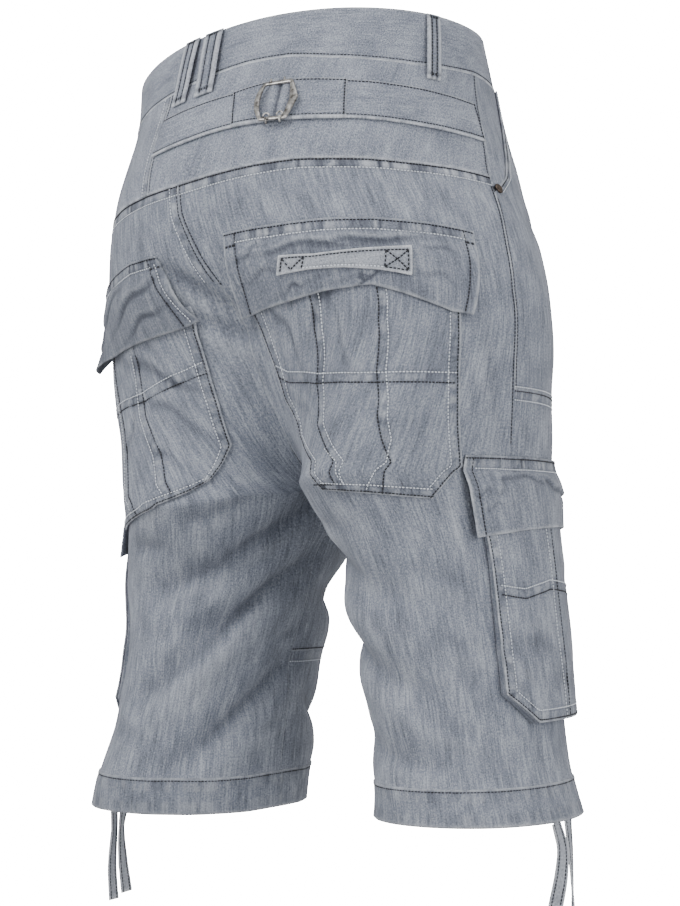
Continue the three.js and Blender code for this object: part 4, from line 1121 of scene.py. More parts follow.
def makeCargoPockets():
    corner = cargo["cutIn"] / (cargo["toQ"] - cargoFrom(cargo["bottom"]))

    def bottomAt(u):
        return mix(cargo["corner"], cargo["bottom"], np.minimum(np.minimum(u, 1 - u) / corner, 1).clip(0))

    for word, sign in sides.items():
        def place(u, v, sign=sign):
            r = mix(cargo["top"], bottomAt(u), v)
            full = 2 * np.sin(math.pi * u).clip(0) * np.sin(math.pi * v).clip(0)
            lift = wall["onPanel"] + cargoDepth(r) + 0.8 + full
            return sign * mix(cargoFrom(r), cargo["toQ"], u), r, lift

        face = {"name": f"cargo_pocket_{word}_cloth", "node": f"cargo_pocket_{word}", "place": place,
                "thick": wall["trim"], "u": spacing(150, 1.5, 1.9, 14), "v": spacing(168, 1.6, 2.1, 8),
                "shift": (53 * sign, 21), "material": materials["denim"], "seed": 74 + sign,
                "edges": {"in": (0.75, 0.2), "out": (0.75, 0.2), "bottom": (0.7, 0.2)}}
        face["sewn"] = [("dark", inset(face, "in", 1.6)), ("pale", inset(face, "in", 9.0, 0, 0.95)),
                        ("dark", inset(face, "out", 1.6)), ("pale", inset(face, "out", 9.0, 0, 0.95)),
                        ("dark", inset(face, "bottom", 1.6)),
                        ("pale", inset(face, "bottom", 9.0, 0.06, 0.94))]
        face["bands"] = [(inset(face, side, 5.2, 0.02, 0.97), 3.0, 0.55) for side in ("in", "out", "bottom")]
        middle = [(0.538, -345), (0.535, -400), (0.535, -440), (0.54, -507)]
        for offset, kind in ((0.0075, "dark"), (-0.0075, "pale")):
            face["sewn"] += [(kind, through(place, [(sign * (q + offset), r) for q, r in middle]))]
        face["bands"] += [(through(place, [(sign * q, r) for q, r in middle]), 3.2, 0.4)]
        level = [(0.431, -404), (0.52, -402.5), (0.6, -407.5), (0.69, -409)]
        for drop, kind in ((0, "pale"), (-7, "dark")):
            across = [(sign * q, r + drop) for q, r in level]
            face["sewn"] += [(kind, through(place, across))]
        face["bands"] += [(through(place, [(q, r + 3.5) for q, r in across]), 3.0, 0.5)]
        face["relief"] = lambda u, v, q, r: troughs(u, v, [
            (0.1, 0.62, 0.4, 0.7, 0.02, 0.7), (0.5, 0.3, 0.9, 0.42, 0.02, 0.6),
            (0.3, 0.86, 0.6, 0.8, 0.02, 0.7),
            (0.06, 0.86, 0.16, 0.95, 0.02, 0.8)])
        buildPiece(face)
        makeGusset(word, sign)

        def placeFlap(u, v, sign=sign):
            end = mix(cargoFlap["end"], cargoFlap["mid"], np.sin(math.pi * u))
            start = mix(cargoFlap["fromTopQ"], cargoFlap["fromEndQ"], v)
            stop = mix(cargoFlap["toTopQ"], cargoFlap["toEndQ"], v)
            lift = wall["onPanel"] + flapRoom["cargo"] * ease(v / 0.45)
            return sign * mix(start, stop, u), mix(cargoFlap["top"], end, v), lift

        flap = {"name": f"cargo_flap_{word}_cloth", "node": f"cargo_flap_{word}", "place": placeFlap,
                "thick": wall["trim"], "u": spacing(155, 1.4, 1.8, 10), "v": spacing(53, 1.3, 1.7, 8),
                "shift": (83 * sign, 12), "material": materials["denim"], "seed": 81 + sign,
                "dull": (0.12, 0.05),
                "edges": {"in": (0.85, 0.1), "out": (0.85, 0.1), "bottom": (0.75, 0.1), "top": (0.3, 0.1)}}
        flap["sewn"] = [("dark", inset(flap, "top", 1.6)), ("pale", inset(flap, "top", 9.0, 0.05, 0.95)),
                        ("dark", inset(flap, "in", 7.4, 0.02, 0.99)),
                        ("dark", inset(flap, "out", 7.4, 0.02, 0.99))]
        flap["bands"] = [(inset(flap, "top", 5.2), 3.2, 0.7)]
        flap["relief"] = lambda u, v, q, r: troughs(u, v * 0.7, [
            (0.15, 0.3, 0.22, 0.17, 0.012, 1.3), (0.22, 0.19, 0.46, 0.24, 0.011, 1.8),
            (0.42, 0.22, 0.62, 0.34, 0.013, 2.2),
            (0.58, 0.335, 0.95, 0.39, 0.012, 1.8), (0.02, 0.33, 0.12, 0.32, 0.01, 0.9),
            (0.07, 0.46, 0.16, 0.44, 0.01, 0.8)])
        buildPiece(flap)


def makeGusset(word, sign):
    first = cargoFrom(cargo["bottom"])
    down = np.linspace(cargo["top"], cargo["corner"], 60)
    across = np.linspace(first + cargo["cutIn"], cargo["toQ"] - cargo["cutIn"], 44)
    q = np.concatenate([cargoFrom(down), across, np.full(len(down), cargo["toQ"])])
    r = np.concatenate([down, np.full(len(across), cargo["bottom"]), down[::-1]])
    middle = (first + cargo["toQ"]) / 2
    toward = np.sign(middle - q) / foldRules["scale"] * np.minimum(1, np.abs(middle - q) * 20)
    raised = (r == cargo["bottom"]) * 1.0
    low = wall["onPanel"] + 0.3
    levels = [mix(low, wall["onPanel"] + cargoDepth(r), share) for share in np.linspace(0, 1, 6)]
    outer = []
    inner = []
    by = wall["trim"]
    for k, level in enumerate(levels):
        soft = -0.5 * math.sin(math.pi * k / 5)
        outer.append(clothAt(sign * (q - toward * soft), r - raised * soft, level)[0])
        inner.append(clothAt(sign * (q + toward * by), r + raised * by, level)[0])
    outer = np.array(outer)
    inner = np.array(inner)
    normals = unit(outer - inner)
    x = np.broadcast_to(lengthAlong(outer[0]), outer.shape[:2])
    y = np.array(levels)
    none = np.zeros(x.shape)
    # the gusset is darkened evenly as painted shade between the pocket and the panel; its upper part is paled
    # as wear
    values = {"wearAndHighlight": 0.2 * (y > 6) + none, "shade": 0.15 + none}
    points, faces, uvs, spread, inside = wallFrom(outer, inner, normals, np.stack([y + 20, x], -1), values,
                                                  wall["trim"])
    mesh = newMesh(f"cargo_gusset_{word}_cloth", points, [faces], uvs, spread, inside)
    made = newPiece(mesh.name, mesh, [materials["denim"], materials["reverse"]],
                    [f"cargo_gusset_{word}"])


# Strap and loops
strap = {"at": [-0.08, 0.06, 0.13, 0.26, 0.4, 0.53], "top": [-44, -43.5, -40, -43, -45.5, -48],
         "end": [-71.5, -70, -71, -74, -77.5, -80]}
buckle = {"q": 0.147, "r": -59.5, "out": 2.6, "thick": 2.0}


def puffs(u, v, q, r):
    # the strap's cloth swells through the buckle in two upright folds
    x = (q - buckle["q"]) * 560
    lean = 0.6 * np.sin(v * 5)
    swell = bell(np.abs((x + 5.3 + lean) / 4.9) ** 1.6) + bell(np.abs((x - 5.6 - lean) / 4.7) ** 1.6)
    ends = np.clip(np.minimum(v, 1 - v) / 0.16, 0, 1) ** 0.5
    moved = swell * 3.1 * (0.35 + 0.65 * ends)
    gap = bell((x - 0.1) / 1.5)
    near = bell((np.abs(x) / 12.5) ** 4)
    crumple = 0.35 * waver(v * 7 + np.sign(x) * 3.3, 5) * swell
    # painted highlight on the swells' crests, and painted shade in the gap between them and round the buckle
    return moved - 0.6 * gap + crumple, 0.25 * np.clip(swell - 0.75, 0, 1) * near, 0.75 * gap + 0.12 * near


def makeStrap():
    cuts = [("strap_left_tail", (-0.074, -0.074), (0.0613, 0.0733), wall["trim"]),
            ("strap_middle", (0.0619, 0.0739), (0.2562, 0.2589), wall["strap"]),
            ("strap_right_tail", (0.2568, 0.2595), (0.505, 0.505), wall["trim"])]
    for name, a, b, thick in cuts:
        def place(u, v, a=a, b=b):
            q = mix(mix(*a, v), mix(*b, v), u)
            top = np.interp(q, strap["at"], strap["top"])
            end = np.interp(q, strap["at"], strap["end"])
            return q, mix(top, end, v), wall["onPanel"]

        piece = {"name": f"{name}_cloth", "node": name, "place": place, "thick": thick,
                 "u": spacing((b[0] - a[0]) * 540, 1.1, 1.5, 4), "v": spacing(30, 0.9, 1.4, 6),
                 "grain": "across",
                 "shift": (140 + 300 * a[0], 60), "material": materials["trim"], "slot": "denim_trim",
                 "seed": 90 + round(a[0] * 50),
                 "edges": {"bottom": (1.0, 0.9), "top": (0.6, 0.2)}}
        piece["sewn"] = [("dark", inset(piece, "top", 1.3, count=60)),
                         ("dark", inset(piece, "bottom", 3.1, count=60))]
        if name == "strap_right_tail":
            piece["sewn"] += [("dark", inset(piece, "out", 0.9))]
        if name == "strap_middle":
            piece["relief"] = puffs
            piece["sewn"] = [("dark", inset(piece, "top", 1.3, 0, 0.34)),
                             ("dark", inset(piece, "top", 1.3, 0.52, 1)),
                             ("dark", inset(piece, "bottom", 3.1, 0, 0.34)),
                             ("dark", inset(piece, "bottom", 3.1, 0.52, 1)),
                             ("dark", inset(piece, "in", 1.2)), ("dark", inset(piece, "out", 1.2))]
            piece["edges"]["in"] = (0.3, 0)
            piece["edges"]["out"] = (0.3, 0)
        buildPiece(piece)


loops = {"back_left": (-0.04, -0.05), "back_right": (0.002, 0.0), "side_right": (0.425, 0.42),
         "side_left": (-0.425, -0.42), "front_right": (0.76, 0.76), "front_left": (-0.76, -0.76)}


def rolledLoop(u, v, q, r):
    # the loop's long edges are folded in and stand proud, and its ends are pressed flat
    ridge = bell((u - 0.13) / 0.09) + bell((u - 0.87) / 0.09)
    flat = np.clip(np.minimum(v, 1 - v) / 0.06, 0, 1)
    middle = 0.25 * bell((u - 0.5) / 0.12)
    beat = 0.12 * waver(v * 22, 3)
    paler = 0.75 * ridge * (0.8 + 0.2 * waver(v * 14, 8))
    # painted shade along the grooves of the two stitch lines; the pale ridges are real wear on the folded
    # edges
    darker = 0.35 * bell((u - 0.31) / 0.07) + 0.35 * bell((u - 0.69) / 0.07)
    return (ridge * 0.75 + middle + beat) * flat, paler, darker


def makeBeltLoops():
    half = 0.0145
    for word, (top, end) in loops.items():
        def place(u, v, top=top, end=end):
            lift = wall["onPanel"] + 2.2 * np.sin(math.pi * v).clip(0) ** 0.6
            return mix(top, end, v) + mix(-half, half, u), mix(19.6, -35, v), lift

        piece = {"name": f"belt_loop_{word}_cloth", "node": f"belt_loop_{word}", "place": place,
                 "thick": wall["trim"],
                 "u": np.linspace(0, 1, 17), "v": spacing(56, 0.9, 1.6, 5), "shift": (17 * len(word), 45),
                 "material": materials["trim"], "seed": 101 + len(word), "relief": rolledLoop,
                 "edges": {"bottom": (0.9, 0.2), "in": (0.4, 0), "out": (0.4, 0)}}
        piece["sewn"] = [("dark", [(0.31, 0.02), (0.31, 0.98)]), ("dark", [(0.69, 0.02), (0.69, 0.98)])]
        for v in (0.925, 0.945, 0.04, 0.06):
            piece["sewn"] += [("dark", [(0.04, v), (0.96, v)])]
        buildPiece(piece)


# Metal
def seatAt(q, r, out):
    # a frame on the cloth: x toward the wearer's right, y up it and z out of it
    point, z = clothAt(np.array([q]), np.array([r]), out)
    r = np.array([r])
    ahead = clothAt(np.array([q + 0.002]), r)[0] - clothAt(np.array([q - 0.002]), r)[0]
    z = z[0]
    x = unit(ahead[0] - z * ahead[0].dot(z))
    y = np.cross(z, x)
    if y[2] < 0:
        x, y = -x, -y
    return point[0], np.stack([x, y, z])


def seated(points, seat):
    return seat[0] + np.asarray(points, float) @ seat[1]


def metalPiece(node, points, faces, material):
    mesh = newMesh(f"{node}_metal", points, faces)
    newPiece(mesh.name, mesh, [materials[material]], [node])
    report(f"{mesh.name} {len(mesh.polygons)} faces")


def turned(profile, seat, steps=40):
    # a lathed form about the seat's z, from (radius, height) pairs that start and end on the axis
    angles = np.arange(steps) / steps * 2 * math.pi
    ring = [np.stack([p[0] * np.cos(angles), p[0] * np.sin(angles), np.full(steps, p[1])], 1)
            for p in profile[1:-1]]
    points = np.concatenate([[[0, 0, profile[0][1]]]] + ring + [[[0, 0, profile[-1][1]]]])
    n = len(ring)
    quads = []
    for k in range(n - 1):
        a = 1 + k * steps + np.arange(steps)
        b = 1 + k * steps + (np.arange(steps) + 1) % steps
        quads.append(np.stack([a, b, b + steps, a + steps], 1))
    first = 1 + np.arange(steps)
    nextOne = 1 + (np.arange(steps) + 1) % steps
    last = 1 + (n - 1) * steps
    caps = np.concatenate([np.stack([np.zeros(steps, int), nextOne, first], 1),
                           np.stack([np.full(steps, last + steps), last + np.arange(steps),
                                     last + (np.arange(steps) + 1) % steps], 1)])
    return seated(points, seat), [np.concatenate(quads), caps]


def outward(points, faces):
    # turns every face when a closed form came out inside out
    volume = 0
    for f in faces:
        for k in range(1, f.shape[1] - 1):
            volume += np.einsum("ij,ij->i", points[f[:, 0]],
                                np.cross(points[f[:, k]], points[f[:, k + 1]])).sum()
    return [f[:, ::-1] for f in faces] if volume < 0 else faces


def tube(path, radius, sides=10, closed=False):
    # a round bar along a path, with domed ends
    path = np.asarray(path, float)
    n = len(path)
    tangents = unit(np.gradient(path, axis=0))
    if closed:
        tangents = unit(np.roll(path, -1, 0) - np.roll(path, 1, 0))
    side = np.cross(tangents[0], [0.3, 0.2, 1.0])
    angles = np.arange(sides) / sides * 2 * math.pi
    rings = []
    side = unit(side)
    for k in range(n):
        side = unit(side - tangents[k] * side.dot(tangents[k]))
        other = np.cross(tangents[k], side)
        size = radius if np.isscalar(radius) else radius[k]
        rings.append(path[k] + size * (np.cos(angles)[:, None] * side + np.sin(angles)[:, None] * other))
    points = np.concatenate(rings)
    quads = []
    for k in range(n if closed else n - 1):
        a = k * sides + np.arange(sides)
        b = k * sides + (np.arange(sides) + 1) % sides
        up = ((k + 1) % n - k) * sides
        quads.append(np.stack([a, b, b + up, a + up], 1))
    faces = [np.concatenate(quads)]
    if not closed:
        domes = np.array([path[0] - tangents[0] * 0.4, path[-1] + tangents[-1] * 0.4])
        first = len(points)
        points = np.concatenate([points, domes])
        k = np.arange(sides)
        m = (k + 1) % sides
        last = (n - 1) * sides
        faces.append(np.concatenate([np.stack([np.full(sides, first), m, k], 1),
                                     np.stack([np.full(sides, first + 1), last + k, last + m], 1)]))
    return points, outward(points, faces)


def joined(forms):
    points = []
    faces = {3: [], 4: []}
    start = 0
    for p, sets in forms:
        points.append(p)
        for f in sets:
            faces[f.shape[1]].append(f + start)
        start += len(p)
    return np.concatenate(points), [np.concatenate(f) for f in faces.values() if f]


def arc(x0, y0, cx, cy, x1, y1, n=14):
    t = np.linspace(0, 1, n)[:, None]
    start, middle, end = np.array([x0, y0]), np.array([cx, cy]), np.array([x1, y1])
    return (1 - t) ** 2 * start + 2 * t * (1 - t) * middle + t**2 * end


def evenly(loop, count):
    loop = np.concatenate([loop, loop[:1]])
    at = lengthAlong(loop)
    s = np.arange(count) / count * at[-1]
    return np.stack([np.interp(s, at, loop[:, 0]), np.interp(s, at, loop[:, 1])], 1)


def makeBuckle():
    # a flat cast frame with softened edges: a bowed bar, a pointed plate and two thin bars
    outer = np.concatenate([[(-10.5, 17.2), (11, 18), (12.8, 16), (17.8, 1), (10.6, -16.5), (8.6, -18)],
                            arc(-12, -17, -23, -1, -12.6, 15)])
    inner = np.concatenate([[(-9.6, 14.6), (10, 14.8), (11, 0), (7, -14.8)],
                            arc(-10.4, -14.2, -16.2, -1, -10.2, 14.2)])
    count = 120
    a = evenly(outer * (1, 1.1), count)
    b = evenly(inner * (1, 1.1), count)
    # start both loops at the same corner, so that the frame's faces don't twist
    start = np.argmin(np.linalg.norm(b - a[0], axis=1))
    b = np.roll(b, -start, 0)
    seat = seatAt(buckle["q"], buckle["r"], wall["onPanel"] + wall["strap"] + buckle["out"])
    thick = buckle["thick"]
    # each ring's share of the way from the first loop to the second, and its height in half thicknesses
    profile = [(0.0, 0.5), (0.0, 1.35), (0.07, 1.8), (0.18, 2.0), (0.5, 2.08), (0.82, 2.0), (0.93, 1.8)]
    profile += [(1.0, 1.35), (1.0, 0.5), (0.9, 0.1), (0.1, 0.1)]
    rings = []
    for share, z in profile:
        flat = a + (b - a) * share
        rings.append(np.concatenate([flat, np.full((count, 1), z / 2 * thick)], 1))
    points = np.concatenate(rings)
    n = len(rings)
    quads = []
    for k in range(n):
        up = ((k + 1) % n) * count
        i = np.arange(count)
        j = (i + 1) % count
        quads.append(np.stack([k * count + i, k * count + j, up + j, up + i], 1))
    points = seated(points, seat)
    faces = outward(points, [np.concatenate(quads)])
    metalPiece("buckle_frame", points, faces, "nickel")
    for k, x in enumerate((-5.8, 5.2)):
        # each prong: a rod under the cloth, a curl round the lower bar with a post below, and a tip above
        curl = [(x + 2.5 * math.cos(t), -15.9 + 2.3 * math.sin(t), 2.6 + 0.6 * math.sin(t))
                for t in np.linspace(math.pi, 0, 12)]
        post = [(x, -17.1, 2.6), (x, -19.2, 2.7), (x, -21.2, 2.0), (x, -22.4, 1.2)]
        knob = [(x - 1.2, -18.3, 2.5), (x, -18.2, 3.0), (x + 1.2, -18.3, 2.5)]
        rod = [(x, -14.5, -1.3), (x, 0, -1.3), (x, 15.5, -1.2), (x, 18.1, 0.4), (x, 20.1, 1.6),
               (x, 22.0, 1.7)]
        forms = [tube(seated(curl, seat), 0.62), tube(seated(post, seat), 0.75),
                 tube(seated(knob, seat), 0.8),
                 tube(seated(rod, seat), [0.85, 0.85, 0.85, 0.8, 0.8, 0.7])]
        points, faces = joined(forms)
        metalPiece(f"buckle_prong_{k + 1}", points, faces, "nickel")


def makeRivetsAndButton():
    for word, sign in sides.items():
        seat = seatAt(sign * 0.503, -120.5, wall["onPanel"])
        profile = [(0, -0.1), (4.0, -0.1), (4.25, 0.3), (4.1, 0.85), (3.5, 1.25), (2.7, 1.35), (2.1, 1.2),
                   (1.75, 0.75),
                   (1.2, 0.7), (0.85, 1.15), (0, 1.3)]
        points, faces = turned(profile, seat, 28)
        metalPiece(f"rivet_{word}", points, outward(points, faces), "darkMetal")
    seat = seatAt(0.985, 0, wall["band"] + 2.25)
    profile = [(0, -1.4), (4.0, -1.4), (8.0, -1.3), (8.5, -0.8), (8.45, 0.2), (8.1, 0.9), (7.4, 1.3),
               (6.7, 1.25), (6.2, 0.8),
               (5.7, 0.65), (4.2, 0.9), (2.4, 1.15), (0, 1.25)]
    points, faces = turned(profile, seat, 56)
    metalPiece("waist_button", points, outward(points, faces), "nickel")


# Ties
tie = {"width": 10.6, "thick": 1.3, "start": 0.4}
ties = [
    {"name": "tie_right_1", "q": 0.483, "sway": [0, 7.5, 7, 2.5], "out": [0, 1, 0.5, -2],
     "fall": [0, 20, 41, 66],
     "turn": [0, 14, 38, 62]},
    {"name": "tie_right_2", "q": 0.512, "sway": [0, 4.5, 5, 5], "out": [0, 0, 1.5, 2.5],
     "fall": [0, 24, 52, 79],
     "turn": [0, -10, -24, -46]},
    {"name": "tie_left_1", "q": -0.507, "sway": [0, 8.5, 7, 2.5], "out": [0, -0.5, -0.5, -1],
     "fall": [0, 26, 54, 82],
     "turn": [0, -18, 2, 16]},
    {"name": "tie_left_2", "q": -0.478, "sway": [0, -5, -3, -5], "out": [0, 2.5, 3.5, 3],
     "fall": [0, 28, 58, 87],
     "turn": [0, -4, 8, 16]},
]


def spline(points, count):
    # a smooth curve through a few points, evenly stepped
    points = np.asarray(points, float)
    padded = np.concatenate([[2 * points[0] - points[1]], points, [2 * points[-1] - points[-2]]])
    out = []
    for k in range(1, len(padded) - 2):
        p0, p1, p2, p3 = padded[k - 1:k + 3]
        for t in np.linspace(0, 1, 40, endpoint=False):
            out.append(0.5 * (2 * p1 + (p2 - p0) * t + (2 * p0 - 5 * p1 + 4 * p2 - p3) * t * t
                              + (3 * p1 - p0 - 3 * p2 + p3) * t**3))
    out.append(points[-1])
    out = np.array(out)
    at = lengthAlong(out)
    s = np.linspace(0, at[-1], count)
    return np.stack([np.interp(s, at, out[:, k]) for k in range(3)], 1)


def makeTies():
    for one in ties:
        bottom = rows["casing"]["left" if one["q"] < 0 else "right"][1]
        at = lambda q: clothAt(np.array([q]), np.array([float(bottom)]), -0.4)[0][0]
        start = at(one["q"])
        side = clothAt(np.array([one["q"] + 0.002]), np.array([float(bottom)]))[0][0] - clothAt(
            np.array([one["q"] - 0.002]), np.array([float(bottom)]))[0][0]
        side[2] = 0
        side = unit(side)
        face = np.array([side[1], -side[0], 0])
        if face[0] * start[0] < 0:
            face = -face
        corners = [start + side * s + face * o - np.array([0, 0, f + tie["start"]])
                   for s, o, f in zip(one["sway"], one["out"], one["fall"])]
        steps = 46
        path = spline(corners, steps)
        length = lengthAlong(path)
        turn = np.radians(np.interp(length / length[-1], np.linspace(0, 1, 4), one["turn"]))
        half = tie["width"] / 2
        across = np.linspace(-1, 1, 15)
        tangents = unit(np.gradient(path, axis=0))
        sideways = unit(side - tangents * (tangents @ side)[:, None])
        front = np.cross(tangents, sideways)
        front = np.where(((front @ face) < 0)[:, None], -front, front)
        wide = sideways * np.cos(turn)[:, None] + front * np.sin(turn)[:, None]
        out = front * np.cos(turn)[:, None] - sideways * np.sin(turn)[:, None]
        # a strip folded to the middle and stitched near both edges
        ridge = 0.22 * (bell((np.abs(across) - 0.86) / 0.12)) - 0.2 * bell((np.abs(across) - 0.62) / 0.1)
        crumple = 0.16 * ripple(length[:, None] / 6, across[None] * 1.3, len(one["name"]) + one["q"] * 40)
        lift = ridge[None] + crumple
        base = path[:, None] + wide[:, None] * (across * half)[None, :, None]
        outer = base + out[:, None] * (tie["thick"] / 2 + lift)[..., None]
        inner = base - out[:, None] * (tie["thick"] / 2 + lift * 0.8)[..., None]
        normals = np.broadcast_to(out[:, None], outer.shape)
        uvs = np.stack(np.broadcast_arrays((across * half)[None], length[:, None]), -1)
        uvs = uvs + np.array([one["q"] * 200, 0])
        cutEnd = bell((length[-1] - length) / 1.6)[:, None]
        hem = bell((length[-1] - length - 6.5) / 0.8)[:, None]
        wearAndHighlight = 0.55 * bell((np.abs(across) - 1) / 0.1)[None] + 0.9 * cutEnd
        # painted shade in the grooves at the stitch lines and at the hem's fold
        shade = 0.3 * bell((np.abs(across) - 0.62) / 0.12)[None] + 0.3 * hem
        values = {"wearAndHighlight": wearAndHighlight.clip(0, 1), "shade": shade.clip(0, 1)}
        points, faces, uvs, spread, inside = wallFrom(outer, inner, normals, uvs, values, tie["thick"])
        mesh = newMesh(f"{one['name']}_tape", points, [faces], uvs, spread, inside * 0)
        made = newPiece(mesh.name, mesh, [materials["tape"]], [one["name"]])
        for edge in (-0.62, 0.62):
            for facing in (1, -1):
                line = path + wide * (edge * half) + out * (facing * (tie["thick"] / 2 - 0.12))
                sewAlong("dark", line, out * facing, lengthAlong(line), 3)
        report(f"{made.name}, length {length[-1]:.0f} mm")


# Materials
def linear(code):
    # an sRGB hex colour, made linear
    out = []
    for k in (0, 2, 4):
        c = int(code[k:k + 2], 16) / 255
        out.append(c / 12.92 if c <= 0.04045 else ((c + 0.055) / 1.055) ** 2.4)
    return (*out, 1.0)


def add(tree, kind, settings=(), inputs=(), links=()):
    # one node: its settings, the values of its inputs, and links into it
    node = tree.nodes.new(kind)
    for key, value in dict(settings).items():
        setattr(node, key, value)
    for key, value in dict(inputs).items():
        node.inputs[key].default_value = value
    for key, socket in dict(links).items():
        tree.links.new(socket, node.inputs[key])
    return node


def newMaterial(name, shader):
    material = bpy.data.materials.new(name)
    material.use_nodes = True
    tree = material.node_tree
    tree.nodes.clear()
    out = tree.nodes.new("ShaderNodeOutputMaterial")
    surface = add(tree, "ShaderNodeBsdfPrincipled", inputs=shader)
    tree.links.new(surface.outputs[0], out.inputs["Surface"])
    return material, tree, surface


def ramp(tree, socket, stops):
    node = add(tree, "ShaderNodeValToRGB", links={"Fac": socket})
    while len(node.color_ramp.elements) < len(stops):
        node.color_ramp.elements.new(0.5)
    for element, (at, color) in zip(node.color_ramp.elements, stops):
        element.position = at
        element.color = color
    return node.outputs["Color"]


def noise(tree, uv, scale, detail=2.0, rough=0.5, shift=(0, 0, 0)):
    # noise over the cloth, with its scale given each way in steps for each metre
    moved = add(tree, "ShaderNodeMapping", inputs={"Scale": scale, "Location": shift}, links={"Vector": uv})
    made = add(tree, "ShaderNodeTexNoise", inputs={"Scale": 1.0, "Detail": detail, "Roughness": rough},
               links={"Vector": moved.outputs[0]})
    return made.outputs["Fac"]


def weighed(tree, pairs, start=0.0):
    # a sum of values, each times its weight
    total = None
    for socket, weight in pairs:
        node = add(tree, "ShaderNodeMath", {"operation": "MULTIPLY_ADD"}, {1: weight, 2: start}, {0: socket})
        if total is not None:
            tree.links.new(total, node.inputs[2])
        total = node.outputs[0]
    return total


def denim(name, dark, middle, pale, paling, streaks=1.0, speckle=1.0):
    material, tree, surface = newMaterial(name, {"Roughness": 0.86, "Sheen Weight": 0.12,
                                                 "Sheen Roughness": 0.45})
    uv = add(tree, "ShaderNodeUVMap", {"uv_map": "cloth"}).outputs[0]
    # slubs: pale and dark streaks along the warp, about 1 mm across and 12 to 25 mm long
    slub = noise(tree, uv, (620, 48, 1), 3.0, 0.6)
    broad = noise(tree, uv, (230, 18, 1), 2.0, 0.5, (3, 7, 0))
    cloud = noise(tree, uv, (42, 26, 1), 4.0, 0.6, (9, 2, 0))
    # the twill's grain, drawn at about 1 mm, coarser than the real 0.5 mm weave
    grain = noise(tree, uv, (900, 640, 1), 2.0, 0.85)
    nap = noise(tree, uv, (420, 1100, 1), 2.0, 0.6, (1, 5, 0))
    mottle = [(slub, 0.75 * streaks), (broad, 0.32 * streaks), (cloud, 0.6), (grain, speckle), (nap, 0.4)]
    tone = weighed(tree, mottle, 0.5 - (1.07 * streaks + 1.0 + speckle) / 2)
    base = ramp(tree, tone, [(0.17, linear(dark)), (0.5, linear(middle)), (0.83, linear(pale))])
    # the cloth is paled by the first attribute: real wear on edges and pucker crests, and painted highlight
    # on the ridges of creases, folds and the strap's swells
    wearAndHighlight = add(tree, "ShaderNodeAttribute", {"attribute_name": "wearAndHighlight"}).outputs["Fac"]
    shade = add(tree, "ShaderNodeAttribute", {"attribute_name": "shade"}).outputs["Fac"]
    spared = add(tree, "ShaderNodeMapRange", links={"Value": grain},
                 inputs={"From Min": 0.3, "From Max": 0.6, "To Min": 0.55, "To Max": 1.0}).outputs[0]
    paledShare = add(tree, "ShaderNodeMath", {"operation": "MULTIPLY"}, links={0: wearAndHighlight, 1: spared}).outputs[0]
    paler = add(tree, "ShaderNodeMix", {"data_type": "RGBA"}, links={"Factor": paledShare})
    tree.links.new(base, paler.inputs[6])
    paler.inputs[7].default_value = linear(paling)
    # the shade attribute darkens the cloth toward 3a3f4b: painted shade in grooves, creases, folds and
    # between parts, and a darkening toward one edge of some pieces
    darker = add(tree, "ShaderNodeMix", {"data_type": "RGBA"}, links={"Factor": shade})
    tree.links.new(paler.outputs[2], darker.inputs[6])
    darker.inputs[7].default_value = linear("3a3f4b")
    tree.links.new(darker.outputs[2], surface.inputs["Base Color"])
    # relief of the weave, coarser than real, and of the thicker warp threads
    lines = add(tree, "ShaderNodeMapping", inputs={"Rotation": (0, 0, math.radians(28))},
                links={"Vector": uv})
    wave = add(tree, "ShaderNodeTexWave", {"bands_direction": "X"},
               {"Scale": 160.0, "Distortion": 1.2, "Detail": 2.0, "Detail Scale": 2.0},
               {"Vector": lines.outputs[0]})
    height = weighed(tree, [(wave.outputs["Fac"], 0.35), (grain, 0.9), (slub, 0.55), (nap, 0.5)])
    bump = add(tree, "ShaderNodeBump", inputs={"Strength": 0.55, "Distance": 0.00045},
               links={"Height": height})
    tree.links.new(bump.outputs[0], surface.inputs["Normal"])
    return material


def thread(name, color):
    # spun thread: dull, with a little unevenness from dye and rubbing
    material, tree, surface = newMaterial(name, {"Roughness": 0.8, "Sheen Weight": 0.1})
    place = add(tree, "ShaderNodeTexCoord").outputs["Object"]
    spots = add(tree, "ShaderNodeTexNoise", inputs={"Scale": 420.0, "Detail": 2.0}, links={"Vector": place})
    base = ramp(tree, spots.outputs["Fac"], [(0.3, linear(color[0])), (0.7, linear(color[1]))])
    tree.links.new(base, surface.inputs["Base Color"])
    return material


def castMetal(name, dull, bright, roughness):
    # plated casting, bright and dull in soft patches at random, with a fine bump over it
    material, tree, surface = newMaterial(name, {"Metallic": 1.0})
    place = add(tree, "ShaderNodeTexCoord").outputs["Object"]
    cloud = add(tree, "ShaderNodeTexNoise", inputs={"Scale": 260.0, "Detail": 4.0, "Roughness": 0.6},
                links={"Vector": place}).outputs["Fac"]
    fine = add(tree, "ShaderNodeTexNoise", inputs={"Scale": 1800.0, "Detail": 2.0}, links={"Vector": place})
    base = ramp(tree, cloud, [(0.35, linear(dull)), (0.65, linear(bright))])
    tree.links.new(base, surface.inputs["Base Color"])
    rough = add(tree, "ShaderNodeMapRange", inputs={"To Min": roughness - 0.08, "To Max": roughness + 0.14},
                links={"Value": cloud})
    tree.links.new(rough.outputs[0], surface.inputs["Roughness"])
    bump = add(tree, "ShaderNodeBump", inputs={"Strength": 0.25, "Distance": 0.0002},
               links={"Height": fine.outputs["Fac"]})
    tree.links.new(bump.outputs[0], surface.inputs["Normal"])
    return material


